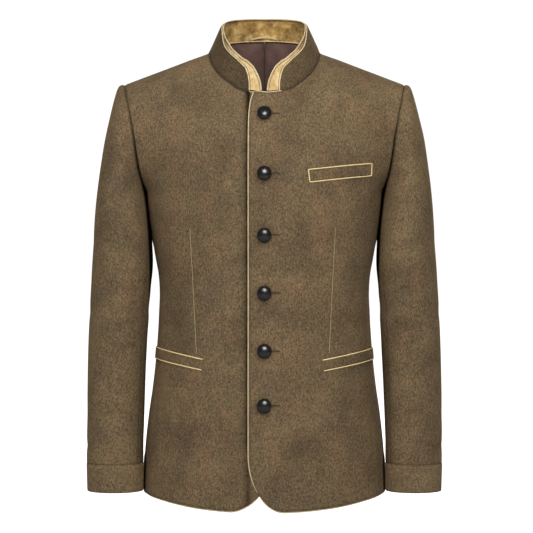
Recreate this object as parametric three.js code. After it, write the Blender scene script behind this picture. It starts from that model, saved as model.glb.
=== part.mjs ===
// A man's single-breasted jacket with a stand collar, hollow and filled out as it is worn.
// X runs to the wearer's left, Y to the back and Z up, in millimetres. The origin lies in the
// middle of the neck, level with the points where the shoulder seams meet the collar.
import * as THREE from "three";

// Thicknesses and gaps
const cloth = 2.4; // wool shell, pressed
const suede = 1.6; // collar facing and loop
const lining = 1.0;
const welt = 1.2; // pocket bands
const seamGap = 0.3;
const layerGap = 0.4; // between one layer and the next
const pocketGap = 0.65; // below the pocket bands, which cross the cloth's flat faces

// Body
const armpitZ = -232;
const hemSideZ = -727;
const hemFrontDrop = 21.5; // the fronts hang lower than the side seams
const hemBackDrop = 4;
const squareness = 2.25; // exponent of the body's rounded sections; 2 is an ellipse
const lapSetback = 3.7; // the under front lies this far behind the upper one

// Neck ring and shoulders
const neckHalf = 92;
const neckFront = 88;
const neckBack = 62;
const neckY = 3;
const shoulderHalf = 233;
const shoulderDrop = 53;
const shoulderY = 5;

// Armhole ring
const armholeFront = 60; // depth before its middle
const armholeBack = 62;

// Columns and rows of the body's walls. The seams of neighbours share their places.
const neckStep = 15; // degrees of neck ring to a column
const neckShare = 0.5; // of the columns end at the neck, the others at the shoulder
const frontColumns = 14;
const backColumns = 12;
const lowerRows = 12;
const upperRows = 12;
const bodyRows = lowerRows + upperRows;
const split = lowerRows / bodyRows; // the share of the rows below the armpit

// Sleeves
const bicepsZ = -315;
const cuffTopZ = -678;
const cuffBottomZ = -724;
const cuffProud = 0.5;
const frontSeamAngle = -60;
const backSeamAngle = 225;

// Trims
const edgePiping = 0.9; // radii
const collarPiping = 0.8;
const pocketPiping = 0.95;
const button = { radius: 11.5, dome: 7.2, rim: 1.4, shankRadius: 2.6, shank: 1.3 };

// Body sections: half the width, and the depth before and behind the side seam
const bodySections = [
  { z: -760, half: 201, front: 139, back: 132 },
  { z: -700, half: 200, front: 138, back: 131 },
  { z: -650, half: 197, front: 135, back: 128 },
  { z: -600, half: 192, front: 131.5, back: 124 },
  { z: -560, half: 186.3, front: 129, back: 119 },
  { z: -520, half: 181.8, front: 126, back: 113 },
  { z: -480, half: 178.4, front: 123.5, back: 107 },
  { z: -440, half: 176, front: 121.5, back: 102 },
  { z: -400, half: 174.6, front: 120.5, back: 100 },
  { z: -370, half: 176.4, front: 121, back: 101 },
  { z: -340, half: 181.8, front: 123, back: 104.5 },
  { z: -300, half: 187.6, front: 125.5, back: 110.5 },
  { z: -260, half: 192.4, front: 127.5, back: 115 },
  { z: -232, half: 195.5, front: 128, back: 116 },
];

// Height of the neck ring round the neck, from the front, 0 degrees, to the back, 180
const neckHeights = [
  { angle: 0, z: -74 },
  { angle: 25, z: -68 },
  { angle: 37, z: -57 },
  { angle: 52, z: -42 },
  { angle: 69, z: -24 },
  { angle: 90, z: 0 },
  { angle: 110, z: 13 },
  { angle: 135, z: 21.8 },
  { angle: 160, z: 26 },
  { angle: 180, z: 27 },
];

// How far out the armhole seam lies at each height
const armholeWidths = [
  { z: -232, x: 195.5 },
  { z: -220, x: 199.4 },
  { z: -205, x: 203.6 },
  { z: -180, x: 208.6 },
  { z: -150, x: 213 },
  { z: -117, x: 219 },
  { z: -84, x: 226 },
  { z: -53, x: 233 },
];

// Collar height from the neck seam, and where its outer cloth and its facing start, by height
const collarHeights = [
  { angle: 6.7, shell: 20, facing: 25.8 },
  { angle: 12.9, shell: 22, facing: 41.2 },
  { angle: 19.5, shell: 29.5, facing: 48.5 },
  { angle: 23, shell: 38, facing: 51 },
  { angle: 31.5, shell: 42.8, facing: 52 },
  { angle: 46, shell: 42.8, facing: 51.2 },
  { angle: 62, shell: 42, facing: 51 },
  { angle: 72, shell: 43.5, facing: 49 },
  { angle: 83, shell: 44.7, facing: 46.6 },
  { angle: 95, shell: 43.7, facing: 45.4 },
  { angle: 115, shell: 40, facing: 41.6 },
  { angle: 145, shell: 36.4, facing: 38 },
  { angle: 180, shell: 35, facing: 36.6 },
];
const collarFronts = [
  { share: 0, shell: 16.5, facing: 3.7 },
  { share: 0.5, shell: 17.3, facing: 5.8 },
  { share: 1, shell: 19.8, facing: 11.5 },
];
const collarFeet = [
  { angle: 0, shell: seamGap, facing: 2.9 },
  { angle: 35, shell: seamGap, facing: 2.6 },
  { angle: 70, shell: seamGap, facing: 0.8 },
  { angle: 180, shell: seamGap, facing: 0.6 },
];

// Sleeve rings below the biceps: outermost and innermost X, middle Y and half the depth
const sleeveRings = [
  { z: -724, outer: 290.3, inner: 199.3, y: -49, depth: 43 },
  { z: -678, outer: 291.8, inner: 199, y: -46, depth: 44.5 },
  { z: -630, outer: 292.4, inner: 198.2, y: -43, depth: 46.5 },
  { z: -580, outer: 292, inner: 197, y: -40, depth: 49 },
  { z: -522, outer: 291.2, inner: 195, y: -37, depth: 52 },
  { z: -480, outer: 290.2, inner: 193, y: -35, depth: 54.5 },
  { z: -430, outer: 288.2, inner: 190.2, y: -32, depth: 57.5 },
  { z: -390, outer: 286.2, inner: 187.6, y: -30, depth: 60 },
  { z: -352, outer: 284.2, inner: 184.8, y: -28, depth: 63.5 },
  { z: -315, outer: 281.8, inner: 186, y: -25, depth: 67 },
];

// Soft folds of the skirt: the angle round the body, where the fold fades out above, and its depth
const skirtFolds = [
  { angle: 64, top: -520, depth: 1.6, spread: 9 },
  { angle: 81, top: -470, depth: 1.4, spread: 7 },
  { angle: 112, top: -440, depth: 2.6, spread: 9 },
  { angle: 138, top: -480, depth: 2.2, spread: 10 },
  { angle: 164, top: -430, depth: 2.4, spread: 9 },
];

// Soft breaks of a sleeve: height, the angle round the sleeve, half the height and width, depth
const sleeveBreaks = [
  { z: -385, angle: -20, tall: 16, wide: 60, depth: 2.2 },
  { z: -425, angle: -45, tall: 14, wide: 55, depth: 2.6 },
  { z: -468, angle: -25, tall: 18, wide: 50, depth: 1.8 },
  { z: -408, angle: 195, tall: 20, wide: 60, depth: 1.8 },
  { z: -600, angle: 20, tall: 22, wide: 60, depth: 1.5 },
  { z: -640, angle: 190, tall: 18, wide: 70, depth: 1.6 },
];

// The two fronts, each drawn as if on the wearer's left. Edge is the front edge's X, corner the
// rounded hem corner's width and height. Setback puts the under front behind the upper one, and
// drop lowers its neck there, clear of the collar's facing.
const edgeTop = -15.8; // the front edge's X where it meets the collar
const frontCuts = {
  left: { edge: -25, cornerWide: 58, cornerTall: 92, setback: 0, drop: 0 },
  right: { edge: -23, cornerWide: 82, cornerTall: 122, setback: lapSetback, drop: 0.7 },
};

const buttonHeights = [-109, -207, -306, -399, -492, -579];

const chestWelt = { x: 70.5, z: -211.3, width: 104, rise: 12.5, tall: 20, skew: 2.4 };
const hipWelt = { innerX: { left: 93.5, right: 98.5 }, innerZ: -507, outerZ: -491.5, tall: 17.5 };
const loop = { half: 24, rise: 4, wide: 3.2, bow: 3.5 };
const blade = { angle: 105, z: -284, wide: 10, tall: 40, depth: 10.5 }; // fullness by the armhole

const colours = {
  shell: 0x66553f,
  lining: 0x4a3a3c,
  suede: 0xc9a468,
  piping: 0xd9bd83,
  button: 0x0d0d0e,
};

// Small tools
const vec = (x, y, z) => new THREE.Vector3(x, y, z);
const rad = THREE.MathUtils.degToRad;
const mix = THREE.MathUtils.lerp;
const smooth = THREE.MathUtils.smoothstep;
const along = (p, direction, distance) => p.clone().addScaledVector(direction, distance);

function hermite(p, slopeP, q, slopeQ, t) {
  const s = 1 - t;
  return (1 + 2 * t) * s * s * p + t * s * s * slopeP + t * t * (3 - 2 * t) * q - t * t * s * slopeQ;
}

function hermitePoint(p, slopeP, q, slopeQ, t) {
  const part = (axis) => hermite(p[axis], slopeP[axis], q[axis], slopeQ[axis], t);
  return vec(part("x"), part("y"), part("z"));
}

// A column of a table at a place between its rows, on a smooth curve through them.
function read(table, by, column, place) {
  const rows = [...table].sort((a, b) => a[by] - b[by]);
  const last = rows.length - 1;
  let i = 0;
  while (i < last - 1 && place > rows[i + 1][by]) i += 1;
  const slope = (k) => {
    const a = rows[Math.max(k - 1, 0)];
    const b = rows[Math.min(k + 1, last)];
    return (b[column] - a[column]) / (b[by] - a[by]);
  };
  const width = rows[i + 1][by] - rows[i][by];
  const t = THREE.MathUtils.clamp((place - rows[i][by]) / width, 0, 1);
  return hermite(rows[i][column], slope(i) * width, rows[i + 1][column], slope(i + 1) * width, t);
}

// The body below the armpits. Angle 0 is the front middle, 90 the side seam, 180 the back middle.
function skirtFold(angle, z) {
  let depth = 0;
  for (const fold of skirtFolds) {
    const off = (Math.abs(angle) - fold.angle) / fold.spread;
    depth += fold.depth * Math.exp(-off * off) * smooth(-z, -fold.top, -hemSideZ);
  }
  return depth;
}

function torso(angle, z) {
  const power = 2 / squareness;
  const s = Math.sin(rad(angle));
  const c = Math.cos(rad(angle));
  const half = read(bodySections, "z", "half", z);
  const depth = read(bodySections, "z", c > 0 ? "front" : "back", z);
  const p = vec(
    Math.sign(s) * half * Math.abs(s) ** power,
    -Math.sign(c) * depth * Math.abs(c) ** power,
    z,
  );
  const aside = ((Math.abs(angle) - blade.angle) / blade.wide) ** 2;
  const full = blade.depth * Math.exp(-aside - ((z - blade.z) / blade.tall) ** 2);
  return along(p, vec(s, -c, 0), skirtFold(angle, z) + full);
}

function torsoNormal(angle, z) {
  const around = torso(angle + 0.5, z).sub(torso(angle - 0.5, z));
  const rise = torso(angle, z + 1).sub(torso(angle, z - 1));
  return around.cross(rise).normalize();
}

function angleOf(x, z) {
  const half = read(bodySections, "z", "half", z);
  const share = Math.min(Math.abs(x) / half, 1) ** (squareness / 2);
  return (Math.sign(x) * Math.asin(share) * 180) / Math.PI;
}

// The neck ring, where the collar is sewn on, and the direction that halves its seam
function neckRing(angle) {
  const around = angle > 180 ? 360 - angle : Math.abs(angle);
  const depth = around < 90 ? neckFront : neckBack;
  const z = read(neckHeights, "angle", "z", around);
  return vec(neckHalf * Math.sin(rad(angle)), neckY - depth * Math.cos(rad(angle)), z);
}

// The neck ring as the fronts and back are cut, straight from column to column
function neckEdge(angle) {
  const first = Math.floor(angle / neckStep) * neckStep;
  return neckRing(first).lerp(neckRing(first + neckStep), (angle - first) / neckStep);
}

function neckSeamNormal(angle) {
  const up = 0.35 + 0.38 * Math.sin(rad(angle)) ** 2;
  const out = Math.sqrt(1 - up * up);
  return vec(Math.sin(rad(angle)) * out, -Math.cos(rad(angle)) * out, up);
}

// The armhole ring: -90 is the armpit, 0 the front, 90 the shoulder point, 180 the back.
function armhole(angle) {
  const s = Math.sin(rad(angle));
  const c = Math.cos(rad(angle));
  const z = mix(armpitZ, -shoulderDrop, (s + 1) / 2);
  const y = (shoulderY * (s + 1)) / 2 - c * (c > 0 ? armholeFront : armholeBack);
  return vec(read(armholeWidths, "z", "x", z), y, z);
}

const armholeNormal = (angle) => vec(0, -Math.cos(rad(angle)), Math.sin(rad(angle)));

// The top line of a front or back: the neck ring and then the shoulder seam
function topLine(u, startAngle) {
  if (u <= neckShare) return neckRing(mix(startAngle, 90, u / neckShare));
  const t = (u - neckShare) / (1 - neckShare);
  return neckRing(90).lerp(vec(shoulderHalf, shoulderY, -shoulderDrop), t);
}

function topNormal(u, startAngle) {
  if (u <= neckShare) return neckSeamNormal(mix(startAngle, 90, u / neckShare));
  return vec(shoulderDrop, 0, shoulderHalf - neckHalf).normalize();
}

// The body above the armpits: each column climbs from the armpit level to the top line and is
// then drawn to the armhole ring at its outer side. Face is -1 on the front and 1 on the back.
// Columns head for a softened top line, so that the neck's corner shows only close to it.
function upperBody(u, t, face, chestAngle, startAngle) {
  const soften = 0.11;
  const column = (share) => {
    const foot = torso(mix(chestAngle, 90, share), armpitZ);
    const top = topLine(share, startAngle);
    const before = topLine(share - soften, startAngle);
    const after = topLine(Math.min(share + soften, 1), startAngle);
    const head = before.add(after).multiplyScalar(0.5).lerp(top, 0.4);
    const over = smooth(share, 0.16, neckShare);
    const climb = foot.clone().sub(torso(mix(chestAngle, 90, share), armpitZ - 1));
    climb.multiplyScalar((head.z - foot.z) * mix(1, 1.5, over));
    const lean = vec(0, -face * mix(0.45, 1, over), mix(0.85, 0, over)).normalize();
    const reach = mix(foot.distanceTo(head), 1.6 * Math.abs(head.y - foot.y) + 10, over);
    const p = hermitePoint(foot, climb, head, lean.multiplyScalar(reach), t);
    return p.addScaledVector(top.sub(head), t ** 5);
  };
  const ringAngle = face < 0 ? mix(-90, 90, t) : mix(270, 90, t);
  const pull = armhole(ringAngle).sub(column(1));
  return column(u).addScaledVector(pull, u ** 3);
}

// The rows stand closer together towards the rounded hem corners.
const rowRise = (v) => (v / split) ** 1.35;

// One front, drawn on the wearer's left: u runs from its front edge to the side, v from the hem up.
function frontPanel(cut) {
  const startAngle = -neckStep;
  const chestAngle = angleOf(cut.edge, armpitZ);

  // Where a point below the armpit lies, with the hem corner rounded off
  const lowerPlace = (u, v) => {
    const hemAngle = mix(angleOf(cut.edge, hemSideZ), 90, u);
    const hemZ = hemSideZ - hemFrontDrop * Math.cos(rad(hemAngle)) ** 2;
    const z = mix(hemZ, armpitZ, rowRise(v));
    const angle = mix(angleOf(cut.edge, z), 90, u);
    const wide = (cut.edge + cut.cornerWide - torso(angle, z).x) / cut.cornerWide;
    const tall = (hemZ + cut.cornerTall - z) / cut.cornerTall;
    if (wide <= 0 || tall <= 0) return { angle, z };
    const roundX = cut.edge + cut.cornerWide * (1 - wide * Math.sqrt(1 - (tall * tall) / 2));
    const roundZ = hemZ + cut.cornerTall * (1 - tall * Math.sqrt(1 - (wide * wide) / 2));
    return { angle: angleOf(roundX, roundZ), z: roundZ };
  };

  const point = (u, v) => {
    let p;
    let up = 0;
    if (v <= split) {
      const place = lowerPlace(u, v);
      p = torso(place.angle, place.z);
    } else {
      up = (v - split) / (1 - split);
      p = upperBody(u, up, -1, chestAngle, startAngle);
      const first = upperBody(0, up, -1, chestAngle, startAngle);
      p.x += (mix(cut.edge, edgeTop, up ** 8) - first.x) * (1 - u) ** 4;
    }
    if (u === 1 || v === 1) p.y -= seamGap / 2;
    const under = smooth(-p.x, -52, -31);
    p.y += cut.setback * under;
    p.z -= cut.drop * under * up ** 3;
    return p;
  };
  const edgeNormal = (u, v) => {
    if (v === 1 && u < 1) return topNormal(u, startAngle);
    if (u === 1 && v >= split) return armholeNormal(mix(-90, 90, (v - split) / (1 - split)));
    if (v > split) return null;
    const place = lowerPlace(u, v);
    return torsoNormal(place.angle, place.z);
  };
  return { point, edgeNormal, facing: 1, columns: frontColumns, rows: bodyRows };
}

// One back half, drawn on the wearer's left: u runs from the back seam to the side.
function backPanel() {
  const lowerPlace = (u, v) => {
    const angle = mix(180, 90, u);
    const hemZ = hemSideZ - hemBackDrop * Math.cos(rad(angle)) ** 2;
    return { angle, z: mix(hemZ, armpitZ, rowRise(v)) };
  };
  const point = (u, v) => {
    let p;
    if (v <= split) {
      const place = lowerPlace(u, v);
      p = torso(place.angle, place.z);
    } else {
      p = upperBody(u, (v - split) / (1 - split), 1, 180, 180);
    }
    if (u === 1 || v === 1) p.y += seamGap / 2;
    if (u === 0) p.x += seamGap / 2;
    return p;
  };
  const edgeNormal = (u, v) => {
    if (v === 1 && u < 1) return topNormal(u, 180);
    if (u === 1 && v >= split) return armholeNormal(mix(270, 90, (v - split) / (1 - split)));
    if (u === 0) return vec(0, 1, 0);
    if (v > split) return null;
    const place = lowerPlace(u, v);
    return torsoNormal(place.angle, place.z);
  };
  return { point, edgeNormal, facing: -1, columns: backColumns, rows: bodyRows };
}

// The sleeve, drawn on the wearer's left: the angle runs round it as round the armhole, and t
// runs down it from the armhole, 0, over the biceps, 1, to the bottom of the cuff, 2.
function sleevePoint(angle, t, proud = 0) {
  const s = Math.sin(rad(angle));
  const c = Math.cos(rad(angle));
  const ring = (z) => {
    const outer = read(sleeveRings, "z", "outer", z);
    const inner = read(sleeveRings, "z", "inner", z);
    const depth = read(sleeveRings, "z", "depth", z);
    const middle = vec((outer + inner) / 2, read(sleeveRings, "z", "y", z), z);
    let out = proud;
    for (const fold of sleeveBreaks) {
      const turn = ((angle - fold.angle + 540) % 360) - 180;
      const off = ((z - fold.z) / fold.tall) ** 2 + (turn / fold.wide) ** 2;
      out -= fold.depth * Math.exp(-off);
    }
    return middle.add(vec(((outer - inner) / 2 + out) * s, -(depth + out) * c, 0));
  };
  if (t > 1) return ring(mix(bicepsZ, cuffBottomZ, t - 1));
  const head = armhole(angle).add(vec(seamGap, 0, 0));
  const out = vec(62 + 25 * s - 25 * s * s, -14 * c, -60 + 22.5 * s + 42.5 * s * s);
  const down = vec(0, 0, -(150 + 100 * s + 20 * s * s));
  const crown = 4 * Math.max(s, 0) ** 2 * (t / 0.08) * Math.exp(1 - t / 0.08);
  return along(hermitePoint(head, out, ring(bicepsZ), down, t), vec(1, 0, 0), crown);
}

function sleevePanel(fromAngle, toAngle, columns) {
  const headRows = 7;
  const armRows = 9;
  const cuffShare = (bicepsZ - cuffTopZ) / (bicepsZ - cuffBottomZ);
  const halfGap = 0.2; // degrees of seam on each side
  const rowAt = (v) => {
    const row = v * (headRows + armRows);
    if (row <= headRows) return (row / headRows) ** 1.25;
    return 1 + (cuffShare * (row - headRows)) / armRows;
  };
  const angleAt = (u) => mix(fromAngle + halfGap, toAngle - halfGap, u);
  const point = (u, v) => sleevePoint(angleAt(u), rowAt(v));
  const edgeNormal = (u, v) => (v === 0 ? armholeNormal(angleAt(u)) : null);
  return { point, edgeNormal, facing: -1, columns, rows: headRows + armRows };
}

function cuffPanel() {
  const start = 1 + (bicepsZ - cuffTopZ + seamGap) / (bicepsZ - cuffBottomZ);
  const point = (u, v) => sleevePoint(-90 + 360 * u, mix(start, 2, v), cuffProud);
  return { point, edgeNormal: () => null, facing: -1, columns: 24, rows: 2, ring: true };
}

// The collar's outer face: height in millimetres up from the neck seam, leaning in to the neck
function collarLean(angle) {
  const lean = 0.2 + 0.28 * Math.sin(rad(angle)) ** 2;
  return {
    up: vec(-Math.sin(rad(angle)) * lean, Math.cos(rad(angle)) * lean, 1).normalize(),
    out: vec(Math.sin(rad(angle)), -Math.cos(rad(angle)), lean).normalize(),
  };
}

function collarPoint(angle, height, inward = 0) {
  const { up, out } = collarLean(angle);
  const foot = neckEdge(angle).lerp(neckRing(angle), Math.min(height / 6, 1));
  return along(along(foot, up, height), out, -inward);
}

// A stand running right round the neck from one front end to the other. Its columns are half a
// neck step wide; the two at each end shrink to follow the sloped front end.
function collarPanel(layer, inward) {
  const firm = Math.ceil(collarFronts[2][layer] / neckStep) * neckStep;
  const columns = 4 + (2 * (360 - 2 * firm)) / neckStep;
  const angleAt = (k, v) => {
    const start = read(collarFronts, "share", layer, v);
    if (k < 2) return mix(start, firm, k / 2);
    if (k > columns - 2) return 360 - mix(start, firm, (columns - k) / 2);
    return firm + ((k - 2) * neckStep) / 2;
  };
  const place = (u, v) => {
    const k = Math.round(u * columns);
    const angle = angleAt(k, v);
    const rim = angleAt(k, 1);
    const foot = read(collarFeet, "angle", layer, angle > 180 ? 360 - angle : angle);
    const top = read(collarHeights, "angle", layer, rim > 180 ? 360 - rim : rim);
    return { angle, height: mix(foot, top, v) };
  };
  const point = (u, v) => {
    const { angle, height } = place(u, v);
    return collarPoint(angle, height, inward);
  };
  const edgeNormal = (u, v) => {
    const { angle } = place(u, v);
    return layer === "shell" && v === 0 ? neckSeamNormal(angle) : collarLean(angle).out;
  };
  return { point, edgeNormal, facing: 1, columns, rows: 3, place };
}

// The outward normal of a panel's surface
function normalAt(panel, u, v) {
  const fixed = panel.edgeNormal(u, v);
  if (fixed) return fixed;
  const step = 1e-3;
  const side = (a, b) => panel.point(a, b);
  const du = side(Math.min(u + step, 1 - 1e-9), v).sub(side(Math.max(u - step, 1e-9), v));
  const inV = THREE.MathUtils.clamp(v, 1e-9, 1 - 1e-9);
  const inU = THREE.MathUtils.clamp(u, 1e-9, 1 - 1e-9);
  const dv = side(inU, Math.min(inV + step, 1 - 1e-9)).sub(side(inU, Math.max(inV - step, 1e-9)));
  return du.cross(dv).normalize().multiplyScalar(panel.facing);
}

// A closed wall on a panel: its outer face lies lift above the panel's surface, and its inner face
// a thickness below that. Side -1 mirrors it to the wearer's right.
function wall(panel, thickness, lift = 0, side = 1) {
  const { columns, rows } = panel;
  const positions = [];
  const across = panel.ring ? columns : columns + 1;
  const layer = across * (rows + 1);
  for (const depth of [lift, lift - thickness]) {
    for (let j = 0; j <= rows; j += 1) {
      for (let i = 0; i < across; i += 1) {
        const u = i / columns;
        const v = j / rows;
        const p = along(panel.point(u, v), normalAt(panel, u, v), depth);
        positions.push(p.x * side, p.y, p.z);
      }
    }
  }
  const index = [];
  const id = (i, j, back) => back * layer + j * across + (i % across);
  const quad = (a, b, c, d) => {
    const turned = panel.facing * side < 0;
    index.push(...(turned ? [a, c, b, a, d, c] : [a, b, c, a, c, d]));
  };
  for (let j = 0; j < rows; j += 1) {
    for (let i = 0; i < columns; i += 1) {
      const face = [id(i, j, 0), id(i + 1, j, 0), id(i + 1, j + 1, 0), id(i, j + 1, 0)];
      const rear = [id(i + 1, j, 1), id(i, j, 1), id(i, j + 1, 1), id(i + 1, j + 1, 1)];
      if (panel.halves && i < columns / 2) face.push(face.shift());
      else rear.push(rear.shift());
      quad(...face);
      quad(...rear);
    }
  }
  for (let i = 0; i < columns; i += 1) {
    quad(id(i, 0, 1), id(i + 1, 0, 1), id(i + 1, 0, 0), id(i, 0, 0));
    quad(id(i, rows, 0), id(i + 1, rows, 0), id(i + 1, rows, 1), id(i, rows, 1));
  }
  if (!panel.ring) {
    for (let j = 0; j < rows; j += 1) {
      quad(id(0, j, 0), id(0, j + 1, 0), id(0, j + 1, 1), id(0, j, 1));
      quad(id(columns, j, 1), id(columns, j + 1, 1), id(columns, j + 1, 0), id(columns, j, 0));
    }
  }
  const geometry = new THREE.BufferGeometry();
  geometry.setAttribute("position", new THREE.Float32BufferAttribute(positions, 3));
  geometry.setIndex(index);
  return geometry;
}

// A cord of piping through a line of points, closed on itself where loop is true
function pipe(line, radius, side = 1, loop = false, sides = 5) {
  const points = line.map((p) => vec(p.x * side, p.y, p.z));
  const count = points.length;
  const at = (k) => points[loop ? (k + count) % count : THREE.MathUtils.clamp(k, 0, count - 1)];
  const positions = [];
  const index = [];
  let across = vec(0, -1, 0.01);
  for (let k = 0; k < count; k += 1) {
    const tangent = at(k + 1).clone().sub(at(k - 1)).normalize();
    across = across.addScaledVector(tangent, -across.dot(tangent)).normalize();
    const other = tangent.clone().cross(across);
    for (let j = 0; j < sides; j += 1) {
      const turn = (j / sides) * Math.PI * 2;
      const ringPoint = along(points[k], across, radius * Math.cos(turn));
      positions.push(...along(ringPoint, other, radius * Math.sin(turn)).toArray());
    }
  }
  const spans = loop ? count : count - 1;
  for (let k = 0; k < spans; k += 1) {
    for (let j = 0; j < sides; j += 1) {
      const a = k * sides + j;
      const b = k * sides + ((j + 1) % sides);
      const c = ((k + 1) % count) * sides + j;
      const d = ((k + 1) % count) * sides + ((j + 1) % sides);
      index.push(a, b, d, a, d, c);
    }
  }
  if (!loop) {
    const last = (count - 1) * sides;
    for (let j = 2; j < sides; j += 1) {
      index.push(0, j, j - 1, last, last + j - 1, last + j);
    }
  }
  const geometry = new THREE.BufferGeometry();
  geometry.setAttribute("position", new THREE.Float32BufferAttribute(positions, 3));
  geometry.setIndex(index);
  return geometry;
}

// Where a panel's surface lies straight behind a point of the front view
function placeOn(panel, x, z) {
  let u = 0.5;
  let v = 0.5;
  const step = 1e-4;
  for (let pass = 0; pass < 40; pass += 1) {
    const p = panel.point(u, v);
    const pu = panel.point(u + step, v).sub(p).divideScalar(step);
    const pv = panel.point(u, v + step).sub(p).divideScalar(step);
    const area = pu.x * pv.z - pu.z * pv.x;
    const dx = x - p.x;
    const dz = z - p.z;
    u = THREE.MathUtils.clamp(u + (0.7 * (dx * pv.z - dz * pv.x)) / area, 0.001, 0.998);
    v = THREE.MathUtils.clamp(v + (0.7 * (dz * pu.x - dx * pu.z)) / area, 0.001, 0.998);
  }
  return { u, v };
}

// A point of a panel's flat faces, as its wall has them, so that what lies on it stays clear
function facePoint(panel, u, v) {
  const { columns, rows } = panel;
  const i = Math.min(Math.floor(u * columns), columns - 1);
  const j = Math.min(Math.floor(v * rows), rows - 1);
  const at = (a, b) => panel.point((i + a) / columns, (j + b) / rows);
  const low = at(0, 0).lerp(at(1, 0), u * columns - i);
  const high = at(0, 1).lerp(at(1, 1), u * columns - i);
  return low.lerp(high, v * rows - j);
}

function onPanel(panel, x, z, out) {
  const { u, v } = placeOn(panel, x, z);
  return along(facePoint(panel, u, v), normalAt(panel, u, v), out);
}

// A band that lies on a panel between four corners of the front view
function bandOn(panel, placeAt, columns) {
  const point = (u, v) => onPanel(panel, ...placeAt(u, v), 0);
  const edgeNormal = (u, v) => {
    const place = placeOn(panel, ...placeAt(u, v));
    return normalAt(panel, place.u, place.v);
  };
  return { point, edgeNormal, facing: 1, columns, rows: 1 };
}

// A line just beyond an edge of a panel, through its own columns and rows. Places are [u, v] pairs,
// deep is how far below the face the line runs, and turn says on which side of the panel it lies.
function beyondEdge(panel, places, deep, out, turn) {
  const points = places.map(([u, v]) => panel.point(u, v));
  return places.map(([u, v], k) => {
    const before = points[Math.max(k - 1, 0)];
    const after = points[Math.min(k + 1, points.length - 1)];
    const reach = points[k].clone().sub(before).normalize();
    const onward = after.clone().sub(points[k]).normalize();
    const mitre = before === points[k] || after === points[k] ? 1 : reach.add(onward).length() / 2;
    const normal = normalAt(panel, u, v);
    const outward = after.clone().sub(before).cross(normal).normalize().multiplyScalar(turn);
    return along(along(points[k], normal, -deep), outward, out / mitre);
  });
}

// The cut edge of a front, from the collar's end along the neck, down the front and along the hem
function cutEdge(panel) {
  const places = [1.9, 1.4, 1, 0.5].map((k) => [k / frontColumns, 1]);
  for (let j = bodyRows; j > 0; j -= 1) places.push([0, j / bodyRows]);
  for (let i = 0; i < frontColumns; i += 1) places.push([i / frontColumns, 0]);
  places.push([0.992, 0]);
  return beyondEdge(panel, places, cloth / 2, edgePiping + seamGap, 1);
}

function buttonShape() {
  const { radius, dome, rim, shankRadius, shank } = button;
  const profile = [
    [0, 0],
    [shankRadius, 0],
    [shankRadius, shank],
    [radius * 0.86, shank],
    [radius, shank + rim],
  ];
  const arcs = 5;
  for (let k = 1; k <= arcs; k += 1) {
    const turn = (k / arcs) * (Math.PI / 2);
    profile.push([radius * Math.cos(turn), shank + rim + (dome - rim) * Math.sin(turn)]);
  }
  profile[profile.length - 1][0] = 0;
  return new THREE.LatheGeometry(profile.map(([x, y]) => new THREE.Vector2(x, y)), 16);
}

// Assembly
const jacket = new THREE.Group();

function add(name, geometry, colour, roughness = 0.9) {
  const material = new THREE.MeshStandardMaterial({ color: colour, roughness, metalness: 0 });
  const mesh = new THREE.Mesh(geometry, material);
  mesh.name = name;
  jacket.add(mesh);
  return mesh;
}

const leftFront = frontPanel(frontCuts.left);
const rightFront = frontPanel(frontCuts.right);

function addBody() {
  add("left_front", wall(leftFront, cloth), colours.shell);
  add("right_front", wall(rightFront, cloth, 0, -1), colours.shell);
  add("left_back", wall(backPanel(), cloth), colours.shell);
  add("right_back", wall(backPanel(), cloth, 0, -1), colours.shell);
}

// The jacket is half lined: its back lining hangs from below the collar facing to the armpits.
function addLining() {
  const back = backPanel();
  const shy = (u, v) => [Math.min(u, 0.99), Math.min(mix(split, 1, v), 0.996)];
  const across = (u, v, take) => {
    const w = 2 * u - 1;
    const p = take(...shy(Math.abs(w), v));
    p.x *= Math.sign(w);
    return p;
  };
  const point = (u, v) => across(u, v, back.point);
  const edgeNormal = (u, v) => across(u, v, (a, b) => normalAt(back, a, b).clone());
  const size = { columns: 2 * backColumns, rows: upperRows };
  const sheet = { point, edgeNormal, facing: -1, halves: true, ...size };
  add("back_lining", wall(sheet, lining, -(cloth + 2.5 * layerGap)), colours.lining);
}

function addSleeves() {
  const top = sleevePanel(frontSeamAngle, backSeamAngle, 19);
  const under = sleevePanel(backSeamAngle, 360 + frontSeamAngle, 5);
  for (const [name, side] of [["left", 1], ["right", -1]]) {
    add(`${name}_top_sleeve`, wall(top, cloth, 0, side), colours.shell);
    add(`${name}_under_sleeve`, wall(under, cloth, 0, side), colours.shell);
    add(`${name}_cuff`, wall(cuffPanel(), cloth + cuffProud, 0, side), colours.shell);
  }
}

function addCollar() {
  const inward = cloth + layerGap;
  const shell = collarPanel("shell", 0);
  const facing = collarPanel("facing", inward);
  add("collar", wall(shell, cloth), colours.shell);
  add("collar_facing", wall(facing, suede), colours.suede);
  const rim = (panel, thickness) => {
    const places = [[0, 0.04], [0, 1 / 3], [0, 2 / 3]];
    for (let i = 0; i <= panel.columns; i += 1) places.push([i / panel.columns, 1]);
    places.push([1, 2 / 3], [1, 1 / 3], [1, 0.04]);
    return pipe(beyondEdge(panel, places, thickness / 2, collarPiping + seamGap, -1), collarPiping);
  };
  add("collar_piping", rim(shell, cloth), colours.piping, 0.7);
  add("facing_piping", rim(facing, suede), colours.piping, 0.7);
}

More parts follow.
